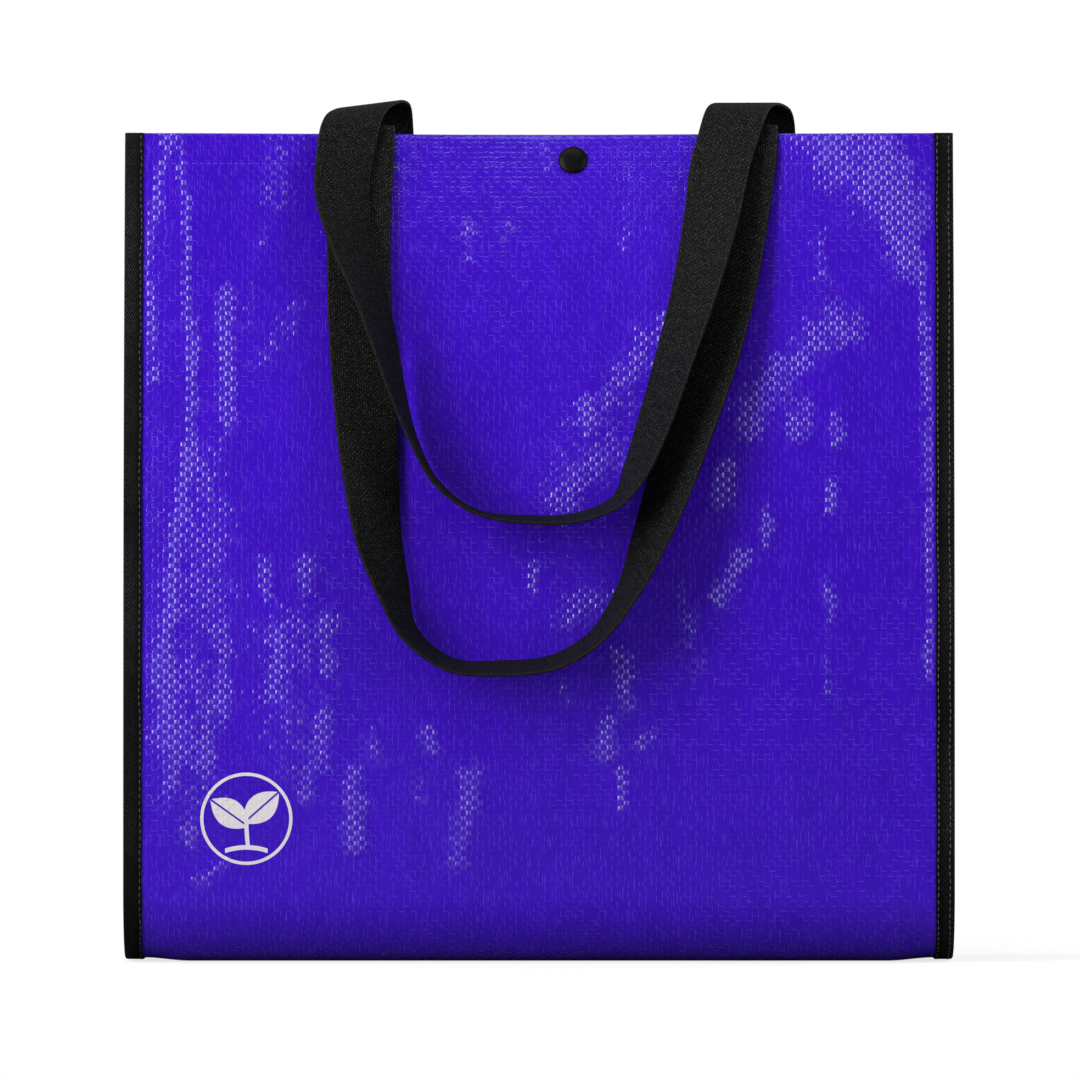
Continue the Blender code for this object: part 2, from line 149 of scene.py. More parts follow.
# %% The folds of the panels
# Each streak: its strength, its width, and its line as places across and heights, in millimetres.
STREAKS = (
    (0.9, 2.6, ((-179, 402), (-186, 360), (-190, 343), (-187, 310), (-186, 280))),
    (1.0, 2.6, ((-175, 400), (-171, 364), (-168, 310))),
    (1.0, 3.8, ((-168, 310), (-167, 270), (-168, 241))),
    (1.0, 4.5, ((-168, 241), (-173, 211), (-175, 185), (-178, 153), (-180, 129))),
    (0.9, 4.4, ((-150, 322), (-151, 290), (-149, 254))),
    (0.5, 9.0, ((-126, 402), (-128, 366))),
    (0.5, 4.5, ((-128, 366), (-137, 340), (-139, 309))),
    (0.4, 9.0, ((-134, 292), (-112, 318))),
    (0.55, 16.0, ((-160, 235), (-158, 160))),
    (0.8, 5.0, ((-132, 192), (-130, 176))),
    (0.8, 5.0, ((-111, 192), (-112, 178))),
    (0.55, 19.0, ((-165, 140), (-165, 90))),
    (0.5, 19.0, ((-120, 160), (-115, 95))),
    (0.9, 5.0, ((-152, 165), (-151, 120))),
    (0.9, 5.0, ((-126, 160), (-127, 130))),
    (0.9, 5.0, ((-102, 165), (-101, 140))),
    (1.0, 7.0, ((-178, 131), (-176, 88))),
    (1.0, 6.0, ((-158, 125), (-161, 98))),
    (1.0, 5.0, ((-104, 118), (-104, 98))),
    (0.9, 5.0, ((-112, 92), (-113, 80))),
    (0.9, 7.0, ((-89, 92), (-89, 56))),
    (0.7, 4.0, ((-80, 110), (-80, 100))),
    (0.6, 4.0, ((-57, 91), (-57, 80))),
    (0.8, 5.0, ((-169, 64), (-168, 58))),
    (0.7, 6.0, ((-164, 40), (-150, 48))),
    (0.6, 4.0, ((-35, 355), (-34, 338))),
    (0.5, 4.0, ((-16, 355), (-17, 346))),
    (0.5, 4.0, ((45, 352), (42, 344))),
    (0.6, 12.0, ((61, 308), (39, 279), (24, 258))),
    (1.0, 5.0, ((25, 268), (24, 254))),
    (0.65, 14.0, ((12, 225), (25, 240), (38, 250))),
    (0.6, 4.0, ((3, 396), (3, 384))),
    (0.8, 4.0, ((-2, 189), (-2, 179))),
    (0.6, 11.0, ((14, 165), (32, 178))),
    (0.9, 5.0, ((38, 150), (42, 138), (41, 122))),
    (1.0, 5.0, ((33, 116), (32, 100))),
    (1.0, 4.0, ((38, 92), (41, 76))),
    (0.7, 4.0, ((50, 106), (54, 110))),
    (0.6, 4.0, ((12, 134), (14, 126))),
    (0.9, 4.0, ((-53, 112), (-51, 104))),
    (0.75, 8.0, ((-33, 90), (-38, 52))),
    (0.8, 6.0, ((138, 402), (137, 385))),
    (0.6, 5.0, ((136, 352), (136, 330))),
    (0.75, 22.0, ((140, 400), (158, 384))),
    (1.0, 12.0, ((162, 402), (170, 376), (177, 340))),
    (0.7, 8.0, ((150, 402), (158, 370))),
    (1.0, 3.0, ((182, 345), (185, 326), (187, 262))),
    (1.0, 2.6, ((187, 262), (188, 200), (187, 137))),
    (0.7, 14.0, ((145, 305), (116, 283), (100, 262))),
    (1.0, 5.0, ((102, 270), (101, 254))),
    (0.8, 5.0, ((128, 268), (124, 255))),
    (0.9, 3.5, ((143, 266), (143, 249))),
    (0.9, 3.5, ((141, 231), (140, 217))),
    (0.7, 3.0, ((140, 190), (139, 130))),
    (1.0, 5.0, ((89, 238), (87, 220))),
    (0.8, 4.0, ((110, 218), (109, 200))),
    (0.9, 6.0, ((99, 193), (86, 176))),
    (0.5, 9.0, ((68, 180), (75, 142))),
)
FADED_OUT = 2.2  # widths from its line at which a streak has faded out


def streak_parts():
    """The streaks as single straight parts, each with the box outside which it has faded out."""
    parts = []
    for strength, width, line in STREAKS:
        for (x0, z0), (x1, z1) in zip(line, line[1:]):
            rim = FADED_OUT * width
            box = (min(x0, x1) - rim, max(x0, x1) + rim, min(z0, z1) - rim, max(z0, z1) + rim)
            parts.append((box, strength, width, x0, z0, x1 - x0, z1 - z0))
    return parts


STREAK_PARTS = streak_parts()
STREAK_SWAY = 2.2
STREAK_HEIGHT, WAVE_HEIGHT, RIPPLE_HEIGHT = 0.20, 1.05, 0.22


def streak(across, up):
    """Strength of the streaks, 0 to 1, and their height, at a place on a panel in millimetres."""
    across += STREAK_SWAY * noise.noise(Vector((0.7, up / 10, across / 90)))
    most = 0.0
    height = 0.0
    for box, strength, width, x0, z0, run_x, run_z in STREAK_PARTS:
        if box[0] < across < box[1] and box[2] < up < box[3]:
            share = limited(((across - x0) * run_x + (up - z0) * run_z) / (run_x**2 + run_z**2))
            reach = width * (1.0 + 0.9 * noise.noise(Vector((up / 12, x0 / 7, 2.2))))
            away = math.hypot(across - x0 - share * run_x, up - z0 - share * run_z) / reach
            here = strength * math.exp(-away * away)
            if here > most:
                most = here
                height = here * width**0.6
    return most, height


def lifted(x, z, side):
    """The streaks of a panel. The back has them mirrored, as the two were folded together."""
    return streak(-side * x * 1000, z * 1000)


def relief(x, z, side):
    """How far the sheet stands out of its smooth shape."""
    across, up = -side * x * 1000, z * 1000
    edge = eased((SEAM_X - abs(x)) / 0.012)
    foot = eased((z - 0.012) / 0.05)
    waves = WAVE_HEIGHT * noise.noise(Vector((across / 38, up / 120, 3.1 * side)))
    ripples = RIPPLE_HEIGHT * noise.noise(Vector((across / 15, up / 46, 7.7 * side)))
    return 0.001 * edge * foot * (STREAK_HEIGHT * lifted(x, z, side)[1] + waves + ripples)


def panel_reach(x, z, side):
    return smooth_reach(x, z) + relief(x, z, side)


# %% [markdown]
# The cut sheet's place on the bag. A point of the cut is given by its place across and its run, which is
# the distance along the sheet from the middle of the base, negative towards the front. Past the rim, the
# run goes over the fold of the hem and down inside.


# %% Places of the made-up sheet
def side_lift(x):
    share = (abs(x) - SEAM_X + SIDE_LIFT_RUN) / SIDE_LIFT_RUN
    return SIDE_LIFT * eased(share)


def sheet_point(x, run):
    side = math.copysign(1.0, run)
    along = abs(run)
    if along <= BASE_HALF:
        y, z = along, 0.0
    elif along <= BASE_HALF + CORNER_RUN:
        turn = (along - BASE_HALF) / CORNER_RADIUS
        y = BASE_HALF + CORNER_RADIUS * math.sin(turn)
        z = CORNER_RADIUS * (1 - math.cos(turn))
        y += relief(x, z, side)
    else:
        z = along - RIM_RUN + HEIGHT
        y = panel_reach(x, z, side)
    z += side_lift(x) * max(0.0, 1 - z / CORNER_RADIUS)
    return Vector((x, side * y, z))


def inward(x, run):
    """Unit vector square to the sheet along its run, into the bag."""
    step = 0.001
    below = max(run - step, -RIM_RUN)
    above = min(run + step, RIM_RUN)
    along = sheet_point(x, above) - sheet_point(x, below)
    return Vector((0.0, -along.z, along.y)).normalized()


HEM_START = RIM_RUN - HEM_RADIUS
HEM_TURN = HEM_START + math.pi * HEM_RADIUS
HEM_RUN = HEM_TURN + HEM_DEPTH - HEM_RADIUS


def hem_place(run):
    """How far in and how far below the rim a run past the hem's fold is."""
    turn = min((abs(run) - HEM_START) / HEM_RADIUS, math.pi)
    inset = HEM_RADIUS * (1 - math.cos(turn))
    if abs(run) <= HEM_TURN:
        return inset, HEM_RADIUS * (1 - math.sin(turn))
    return inset, HEM_RADIUS + abs(run) - HEM_TURN


def made_up(x, run):
    """Place on the bag of any point of the cut sheet, hems included."""
    if abs(run) <= HEM_START:
        return sheet_point(x, run)
    side = math.copysign(1.0, run)
    inset, drop = hem_place(run)
    z = HEIGHT - drop
    return Vector((x, side * (panel_reach(x, z, side) - inset), z))


CELL = 0.0031


def steps_over(length):
    return max(2, round(length / CELL))


def half_runs():
    """Runs of the rows from the base's edge to the hem's free edge."""
    corner = even(BASE_HALF, BASE_HALF + CORNER_RUN, 14)
    wall = even(BASE_HALF + CORNER_RUN, HEM_START, steps_over(HEM_START - BASE_HALF - CORNER_RUN))
    turn = even(HEM_START, HEM_TURN, 6)
    hem = even(HEM_TURN, HEM_RUN, 6)
    return corner[:-1] + wall[:-1] + turn[:-1] + hem


def whole_runs(most):
    """Runs of all rows, from the front over the base to the back, that lie within the given run."""
    half = [run for run in half_runs() if run <= most + 1e-9]
    base = even(-BASE_HALF, BASE_HALF, 20)
    return [-run for run in reversed(half)] + base[1:-1] + half


# %% [markdown]
# Every cloth piece starts as Blender's grid, the cloth as it lies on the cutting table. The rows say where
# each grid point goes on the bag and where it was in the flat cut. Points that the cut leaves out are
# deleted, points that meet are merged, and Solidify gives the cloth its thickness.


# %% Cutting and folding a sheet
SMOOTH_BELOW = math.radians(50)


def only(piece):
    """Makes this piece the only selected and active one."""
    bpy.ops.object.select_all(action="DESELECT")
    piece.select_set(True)
    bpy.context.view_layer.objects.active = piece


def added(name, add, **settings):
    """A new primitive under its name, added with nothing else selected."""
    bpy.ops.object.select_all(action="DESELECT")
    add(**settings)
    piece = bpy.context.active_object
    piece.name = piece.data.name = name
    return piece


def in_edit_mode(piece, *steps):
    only(piece)
    bpy.ops.object.mode_set(mode="EDIT")
    for step in steps:
        step()
    bpy.ops.object.mode_set(mode="OBJECT")


def cut_sheet(name, rows):
    """A sheet from rows of (place, flat place, looseness), or None where the cut leaves a point out."""
    rows = rows[::-1]
    size = {"x_subdivisions": len(rows[0]) - 1, "y_subdivisions": len(rows) - 1, "size": 1.0}
    piece = added(name, bpy.ops.mesh.primitive_grid_add, **size)
    mesh = piece.data
    points = [point for row in rows for point in row]
    for vertex, point in zip(mesh.vertices, points):
        if point:
            vertex.co = point[0]
    loose = mesh.attributes.new("loose", "FLOAT", "POINT")
    for index, point in enumerate(points):
        loose.data[index].value = point[2] if point and len(point) > 2 else 0.0
    flat = mesh.uv_layers.active
    flat.name = "cut"
    for loop in mesh.loops:
        point = points[loop.vertex_index]
        flat.data[loop.index].uv = point[1] if point else (0.0, 0.0)
    in_edit_mode(piece, lambda: bpy.ops.mesh.select_all(action="DESELECT"))
    for vertex, point in zip(mesh.vertices, points):
        vertex.select = point is None
    in_edit_mode(
        piece,
        lambda: bpy.ops.mesh.delete(type="VERT"),
        lambda: bpy.ops.mesh.select_all(action="SELECT"),
        lambda: bpy.ops.mesh.remove_doubles(threshold=1e-6),
    )
    return piece


def thicken(piece, thickness, offset):
    only(piece)
    solidify = piece.modifiers.new("Thickness", "SOLIDIFY")
    solidify.thickness = thickness
    solidify.offset = offset
    bpy.ops.object.modifier_apply(modifier=solidify.name)
    bpy.ops.object.shade_smooth_by_angle(angle=SMOOTH_BELOW)


def settle(piece, node, finish):
    """Gives a piece its finish and its body, and hides the frame's node that it stands for."""
    piece.data.materials.clear()
    piece.data.materials.append(finish)
    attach(piece, "root")
    if node:
        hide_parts(node)
    print(f"{piece.name}: {len(piece.data.polygons)} faces")


# %% [markdown]
# Materials are written as arithmetic. A Value is a socket of the material's node tree, and an expression on
# it adds Math nodes. A Finish is a material in the making, and its node method adds any other node from its
# type, its settings and its inputs.


# %% Writing materials as arithmetic
class Value:
    def __init__(self, tree, socket):
        self.tree = tree
        self.socket = socket

    def math(self, operation, *others):
        made = self.tree.nodes.new("ShaderNodeMath")
        made.operation = operation
        for slot, given in zip(made.inputs, (self, *others)):
            if isinstance(given, Value):
                self.tree.links.new(given.socket, slot)
            else:
                slot.default_value = given
        return Value(self.tree, made.outputs[0])

    def __add__(self, other):
        return self.math("ADD", other)

    def __sub__(self, other):
        return self.math("SUBTRACT", other)

    def __rsub__(self, other):
        return self * -1.0 + other

    def __mul__(self, other):
        return self.math("MULTIPLY", other)

    def __truediv__(self, other):
        return self.math("DIVIDE", other)

    def __gt__(self, other):
        return self.math("GREATER_THAN", other)

    def __lt__(self, other):
        return self.math("LESS_THAN", other)

    __radd__ = __add__
    __rmul__ = __mul__

    def ramp(self, low, high):
        """0 below low and 1 above high, with a soft change between."""
        share = ((self - low) / (high - low)).math("MAXIMUM", 0.0).math("MINIMUM", 1.0)
        return share * share * (3.0 - 2.0 * share)


def socket_of(sockets, name):
    for each in sockets:
        if each.identifier == name:
            return each
    return sockets[name]


class Finish:
    def __init__(self, tree):
        self.tree = tree
        for old in list(tree.nodes):
            tree.nodes.remove(old)

    def node(self, kind, settings=None, inputs=None):
        made = self.tree.nodes.new(kind)
        for name, setting in (settings or {}).items():
            setattr(made, name, setting)
        for name, given in (inputs or {}).items():
            slot = socket_of(made.inputs, name)
            if isinstance(given, Value):
                self.tree.links.new(given.socket, slot)
            else:
                slot.default_value = given
        return made

    def value(self, kind, output=0, settings=None, inputs=None):
        made = self.node(kind, settings, inputs)
        socket = made.outputs[output] if isinstance(output, int) else socket_of(made.outputs, output)
        return Value(self.tree, socket)

    def blend(self, factor, first, second):
        """A colour between two colours."""
        inputs = {"Factor_Float": factor, "A_Color": first, "B_Color": second}
        return self.value("ShaderNodeMix", "Result_Color", {"data_type": "RGBA"}, inputs)

    def flat_place(self):
        """The place in the flat cut, across and along, in metres."""
        place = self.value("ShaderNodeUVMap", "UV", {"uv_map": "cut"})
        return [self.value("ShaderNodeSeparateXYZ", axis, None, {"Vector": place}) for axis in "XY"]

    def plane(self, across, along):
        return self.value("ShaderNodeCombineXYZ", 0, None, {"X": across, "Y": along})

    def noise(self, vector, scale, detail=2.0):
        inputs = {"Vector": vector, "Scale": scale, "Detail": detail, "Roughness": 0.5}
        return self.value("ShaderNodeTexNoise", "Fac", None, inputs)

    def chance(self, vector):
        """A number from 0 to 1 that is the same all over one cell."""
        settings = {"noise_dimensions": "2D"}
        return self.value("ShaderNodeTexWhiteNoise", "Value", settings, {"Vector": vector})

    def ray(self, kind):
        """1 for light rays of one kind, 0 for the others."""
        return self.value("ShaderNodeLightPath", kind)

    def bump(self, height_mm):
        inputs = {"Height": height_mm, "Distance": 0.001, "Strength": 1.0}
        return self.value("ShaderNodeBump", "Normal", None, inputs)


def new_material(name):
    material = bpy.data.materials.new(name)
    material.use_nodes = True
    return material, Finish(material.node_tree)


def grey(level):
    return (level, level, level, 1.0)


def surface(finish, colour, roughness, height_mm, specular, **others):
    """The one shader of a finish, with its relief as a height."""
    look = {"Base Color": colour, "Roughness": roughness, "Specular IOR Level": specular}
    inputs = {**look, "Normal": finish.bump(height_mm)}
    shader = finish.node("ShaderNodeBsdfPrincipled", None, {**inputs, **others})
    output = finish.node("ShaderNodeOutputMaterial")
    finish.tree.links.new(shader.outputs[0], output.inputs["Surface"])


# %% [markdown]
# The laminate. Flat polypropylene tapes, about 2.7 mm wide, are woven over and under, printed violet and
# covered with a clear film. The film glints on the flanks of each tape that lies on top, and more where
# the weave has lifted, where it has also whitened a little from being bent. That whitening is painted into
# the colour together with a painted glint along the flanks and a soft painted sheen. A picture of it
# wouldn't glint, so the weave is worked out from the flat cut: the cloth is a chequerboard of crossings,
# each a small dome that is steep towards its tape's two edges. The looseness that each cloth carries makes
# its domes higher.
# In the tight parts only one edge of some tapes shows, in some zones of the upright tapes and in others of
# the level ones, with fine hairlines of the film; both are painted highlights, a lighter violet in the
# colour.
# Real tapes wander, so the flat place is bent by noise.

# %% Finish of the violet laminate
TAPE_ACROSS = 0.0027
TAPE_ALONG = 0.00243
VIOLET = (0.040, 0.0030, 0.47, 1.0)
# VIOLET_LIT is the colour of the painted highlights on tape edges and hairlines.
VIOLET_LIT = (0.120, 0.040, 0.70, 1.0)
VIOLET_DEEP = (0.030, 0.0018, 0.38, 1.0)
FILM_WHITE_AND_GLINT = (0.42, 0.32, 0.90, 1.0)
PRINT_PALE = (0.64, 0.60, 0.62, 1.0)
FLAT_DOME, LIFTED_DOME = 0.075, 0.340  # millimetres, the second for a fully loose weave


def crossings(columns, rows):
    """Column and row of each crossing, the angle across each, and where the upright one is on top."""
    column, row = columns.math("FLOOR"), rows.math("FLOOR")
    in_column = (columns - column - 0.5) * math.pi
    in_row = (rows - row - 0.5) * math.pi
    return column, row, in_column, in_row, (column + row).math("FLOORED_MODULO", 2.0) < 0.5


def weave(finish, across, along):
    """Height of the weave in millimetres, where a tape's edge gets a painted highlight, and where the film
    is painted white for whitening, glint and sheen.
    """
    column, row, in_column, in_row, upright_on_top = crossings(across / TAPE_ACROSS, along / TAPE_ALONG)
    cell = finish.chance(finish.plane(column, row))
    other = finish.chance(finish.plane(column + 0.5, row + 57.5))
    loose = finish.value("ShaderNodeAttribute", "Fac", {"attribute_name": "loose"})
    over = in_column.math("COSINE")
    along_tape = in_row.math("COSINE")
    patch = finish.noise(finish.plane(across, along * 0.28), 160.0, 2.0)
    lift = (loose * (0.35 + 1.75 * patch) - other * 0.45).math("MAXIMUM", 0.0)
    upright_ends = along_tape.math("MAXIMUM", 0.0).math("SQRT")
    level_ends = over.math("MAXIMUM", 0.0).math("SQRT")
    upright = over.ramp(0.0, 1.0) * upright_ends * (FLAT_DOME + LIFTED_DOME * lift + 0.04 * cell)
    levelled = finish.noise(finish.plane(across, along), 13.0, 0.0).ramp(0.42, 0.60)
    level_height = 0.006 + (0.05 + 0.10 * levelled) * cell * cell
    level = along_tape.ramp(0.0, 0.9) * level_ends * level_height
    height = level + upright_on_top * (upright - level)
    # Painted highlight: a lighter line along one edge of some tapes, where light would catch it.
    upright_edge_highlight = (in_column > 1.26) * (other > 0.35) * (0.72 - 0.48 * levelled)
    level_edge_highlight = (in_row > 1.28) * (cell > 0.50) * (0.20 + 0.72 * levelled)
    edge = level_edge_highlight + upright_on_top * (upright_edge_highlight - level_edge_highlight)
    flank = over.ramp(0.04, 0.30) * (1.0 - 0.75 * over.ramp(0.58, 0.92))
    # Painted glint and sheen: the film is coloured whiter on the flanks of upright tapes, where glints sit,
    # and a little wherever the weave is loose; part of it is whitening from bending.
    glint_bars = upright_on_top * flank * along_tape.ramp(0.0, 0.45)
    whitening_glint_sheen = lift.ramp(0.10, 1.0) * (0.08 + 0.92 * glint_bars)
    return height, edge, whitening_glint_sheen


# %% [markdown]
# The mark printed at the front's lower left is a plain ring round a seedling. On the real bag it is one
# pass of pale ink. It could be a thin piece of its own, but ink has no thickness, so it is drawn in the
# finish, from lines and bows on the flat cut.

# %% The printed mark
MARK_X = -0.1407
MARK_RUN = -(RIM_RUN - HEIGHT + 0.0694)
MARK_RADIUS = 0.0222
LEAVES = ((-0.36, 0.12, 0.62), (0.32, 0.24, -0.72))  # place across, place up, tilt


def emblem(across, along):
    """A ring round a seedling, in shares of the ring's radius, and the disc that it fills."""
    right = (across - MARK_X) / MARK_RADIUS
    up = (along - MARK_RUN) / -MARK_RADIUS
    radius = (right * right + up * up).math("SQRT")
    mark = (radius - 0.965).math("ABSOLUTE") < 0.035
    for leaf_x, leaf_up, tilt in LEAVES:
        cosine, sine = math.cos(tilt), math.sin(tilt)
        long_way = (right - leaf_x) * cosine + (up - leaf_up) * -sine
        short_way = (right - leaf_x) * sine + (up - leaf_up) * cosine
        bow = 1.0 - long_way * long_way * 3.8
        leaf = short_way.math("ABSOLUTE") < bow * 0.30
        vein = short_way.math("ABSOLUTE") > 0.02
        mark = mark.math("MAXIMUM", leaf * vein)
    stalk_line = (right - 0.10 * up * up).math("ABSOLUTE") < 0.045
    stalk = stalk_line * (up > -0.62) * (up < 0.20)
    ground_line = (up + 0.62 + right * right * 0.35).math("ABSOLUTE") < 0.05
    ground = ground_line * (right.math("ABSOLUTE") < 0.46)
    mark = mark.math("MAXIMUM", stalk).math("MAXIMUM", ground)
    return mark, 1.0 - radius.ramp(0.99, 1.03)


# %% The whole finish of the laminate
def laminate_finish(name, printed):
    material, finish = new_material(name)
    across, along = finish.flat_place()
    flat = finish.plane(across, along)
    sway = finish.noise(flat, 170.0, 1.0) - 0.5
    wobble = finish.noise(finish.plane(along, across), 230.0, 1.0) - 0.5
    height, edge, whitening_glint_sheen = weave(finish, across + sway * 0.0012, along + wobble * 0.0014)
    stretched = finish.plane(across, along * 0.35)
    uneven = finish.noise(stretched, 90.0, 2.0)
    wavy = finish.noise(stretched, 30.0, 1.0)
    colour = finish.blend(uneven.ramp(0.30, 0.75) * 0.5, VIOLET, VIOLET_DEEP)
    # Painted highlight: fine upright hairlines and the tape edges are coloured a lighter violet in place of
    # film glints.
    hairline_highlight = finish.noise(finish.plane(across, along * 0.07), 1500.0, 1.0).ramp(0.58, 0.74)
    colour = finish.blend(edge.math("MAXIMUM", hairline_highlight * 0.45), colour, VIOLET_LIT)
    roughness = 0.17 + 0.06 * uneven
    height = height + uneven * 0.12 + wavy * 0.6
    # Part whitening of the bent film, part painted glint and painted sheen.
    colour = finish.blend(whitening_glint_sheen * 0.38, colour, FILM_WHITE_AND_GLINT)
    if printed:
        mark, disc = emblem(across, along)
        colour = finish.blend(disc * 0.35, colour, VIOLET_DEEP)
        colour = finish.blend(mark, colour, PRINT_PALE)
        roughness = roughness + mark * 0.3
    surface(finish, colour, roughness, height, 0.5, IOR=1.49)
    return material


body_laminate = laminate_finish("violet laminate, printed", True)
gusset_laminate = laminate_finish("violet laminate", False)

# %% [markdown]
# The wrapped sheet: front, base and back in one piece, with its rims turned in as hems that stop short of
# the seams. It could be built as five plates, but then its base edge and hems would be joints, and the
# weave would break there.


# %% The wrapped sheet
def sheet_edge(x, run):
    """A point of the sheet where it has no hem: its edge ends level with the fold of the hem."""
    side = math.copysign(1.0, run)
    z = HEIGHT - hem_place(run)[1]
    return Vector((x, side * panel_reach(x, z, side), z))


def looseness(x, run):
    side = math.copysign(1.0, run)
    z = abs(run) - RIM_RUN + HEIGHT
    if abs(run) > HEM_TURN or z < 0:
        return 0.3
    return lifted(x, z, side)[0]


def body_rows():
    inner_x = SEAM_X - HEM_END
    middle = even(-inner_x, inner_x, steps_over(2 * inner_x))
    left = [-EDGE_X, -(EDGE_X + SEAM_X) / 2, -SEAM_X, -(SEAM_X + inner_x) / 2]
    columns = left + middle + [-x for x in reversed(left)]
    top_of_fold = HEM_START + math.pi / 2 * HEM_RADIUS
    rows = []
    for run in whole_runs(HEM_RUN):
        row = []
        for x in columns:
            beside = abs(x) > inner_x + 1e-6
            if not beside or abs(run) <= HEM_START + 1e-9:
                row.append((made_up(x, run), (x, run), looseness(x, run)))
            elif abs(run) <= top_of_fold + 1e-9:
                row.append((sheet_edge(x, run), (x, run), 0.0))
            else:
                row.append(None)
        rows.append(row)
    return rows


bag_sheet = cut_sheet("wrapped_sheet", body_rows())
thicken(bag_sheet, SHEET, -1.0)
settle(bag_sheet, "body", body_laminate)
2 * HEM_RUN

# %% [markdown]
# The gussets. Each is a side panel folded in along its middle, with its edges turned out and laid on the
# sheet's edges under the binding. A row runs from one such edge to the middle crease, and the rows of the
# front and back halves meet there. Near the floor the rows fan out round the rounded corners.


# %% The gussets
def wall_x(y, z):
    tuck = DEPTH / 2 * math.sin(fold_angle(z))
    return SEAM_X - tuck * (1 - min(abs(y) / half_depth(z), 1.0))


def gusset_bulge(y, z):
    """The soft folds of a gusset's wall, out of its plane."""
    share = limited(abs(y) / half_depth(z))
    across = math.sin(math.pi * share)
    up = eased((z - 0.03) / 0.05) * (0.4 + 0.6 * eased((HEIGHT - z) / 0.05))
    wave = noise.noise(Vector((y * 28, z * 11, 5.5))) + 0.5 * noise.noise(Vector((y * 70, z * 26, 9.5)))
    return 0.0016 * across * up * wave


def crease_heights(seam_heights, foot):
    """Heights at which the rows meet the crease: level high up, fanned out lower down."""
    middle = len(seam_heights) // 2
    level = seam_heights[: middle + 1]
    first_low = next(index for index, z in enumerate(level) if z < 2.5 * CORNER_RADIUS)
    top = level[first_low - 1]
    fan = middle - first_low + 1
    half = level[:first_low] + [top + (foot - top) * (step + 1) / fan for step in range(fan)]
    return half + half[-2::-1]


def gusset_point(place, flat, side):
    """The point on its own side of the bag, with how loose the weave is there."""
    patch = noise.noise(Vector((flat[0] * 60, flat[1] * 14, 2.0 * side)))
    return Vector((side * place.x, place.y, place.z)), flat, eased(0.2 + 1.1 * patch)


def gusset_rows(side):
    seat = 2 * SHEET + CLEARANCE
    runs = whole_runs(HEM_START)
    seams = [sheet_point(SEAM_X, run) + inward(SEAM_X, run) * seat for run in runs]
    heights = crease_heights([seam.z for seam in seams], 0.8 * CORNER_RADIUS)
    shares = [0.0, 0.03, 0.08] + even(0.14, 1.0, 18)
    rows = []
    for run, seam, height in zip(runs, seams, heights):
        turn = math.copysign(1.0, run)
        row = []
        for x in (EDGE_X, (EDGE_X + SEAM_X) / 2):
            place = sheet_point(x, run) + inward(SEAM_X, run) * seat
            row.append((place, (turn * (DEPTH / 2 + x - SEAM_X), place.z)))
        for share in shares:
            y = seam.y * (1 - share)
            z = seam.z + (height - seam.z) * share
            flat = (turn * DEPTH / 2 * limited(abs(y) / half_depth(z)), z)
            if share > 0:
                place = Vector((wall_x(y, z) + gusset_bulge(y, z), y, z))
                row.append((place, flat))
            else:
                row.append((seam, flat))
        rows.append(row)
    return [[gusset_point(place, flat, side) for place, flat in row] for row in rows]


def gusset_hem(edge_row, side):
    """The hem's rows over the rim, from the row at the rim to the free edge."""
    slant = 1 / math.cos(RIM_FOLD)
    rows = []
    for run in even(HEM_START, HEM_TURN, 6)[1:] + even(HEM_TURN, HEM_RUN, 6)[1:]:
        inset, drop = hem_place(run)
        z = HEIGHT - drop
        row = [None, None, None, None]
        for place, flat, loose in edge_row[4:]:
            x = wall_x(place.y, z) + gusset_bulge(place.y, z) - slant * inset
            row.append((Vector((side * x, place.y, z)), (flat[0], HEIGHT + run - RIM_RUN), loose))
        rows.append(row)
    return rows


def gusset_sheet(name, side):
    rows = gusset_rows(side)
    front = gusset_hem(rows[0], side)
    back = gusset_hem(rows[-1], side)
    rows = front[::-1] + rows + back
    if side < 0:
        rows = [row[::-1] for row in rows]
    return cut_sheet(name, rows)


for side, hand in ((-1, "left"), (1, "right")):
    gusset = gusset_sheet(hand + "_gusset", side)
    thicken(gusset, SHEET, -1.0)
    settle(gusset, "gusset_" + hand, gusset_laminate)
    flat_height = HEIGHT + HEM_RUN - RIM_RUN

# %% [markdown]
# The binding is black twill tape folded over the cut edges and sewn through. Its ribs run aslant. Its inner
# edge isn't quite straight, because it was fed through the machine by hand.

# %% Finish of the binding tape
TWILL = 0.0021
BINDING_FOLD = EDGE_X - SEAM_X - CLEARANCE + math.pi / 2 * BINDING_RADIUS


def binding_finish():
    material, finish = new_material("black twill tape")
    across, along = finish.flat_place()
    flat = finish.plane(across, along)
    uneven = finish.noise(flat, 140.0, 3.0)
    rib_patches = finish.noise(flat, 14.0, 1.0).ramp(0.30, 0.65)
    rib = ((across * 1.72 - along + uneven * 0.0008) * (2 * math.pi / TWILL)).math("SINE")
    yarn = ((across * 0.6 + along) * (2 * math.pi / 0.0007)).math("SINE")
    speck = finish.noise(flat, 1100.0, 2.0).ramp(0.30, 0.75)
    from_fold = (across.math("ABSOLUTE") - BINDING_FOLD).math("ABSOLUTE")
    # Painted highlight: the slanting ribs are coloured lighter, stronger in random patches and specks.
    lit = rib.ramp(-0.2, 1.0) * (0.1 + 1.2 * uneven) * (0.15 + 0.85 * rib_patches) * (0.25 + 1.5 * speck)
    # Painted shade: the tape is darker away from its fold, towards its inner edges, as a rounded wrap
    # turned from the light.
    lit = lit * (1.0 - 0.7 * from_fold.ramp(0.0045, 0.0075))
    colour = finish.blend(lit, (0.0014, 0.0014, 0.0015, 1.0), (0.042, 0.042, 0.041, 1.0))
    height = rib * 0.10 + yarn * 0.02 + uneven * 0.25
    surface(finish, colour, 0.55 + 0.1 * uneven, height, 0.05)
    return material


binding_tape = binding_finish()


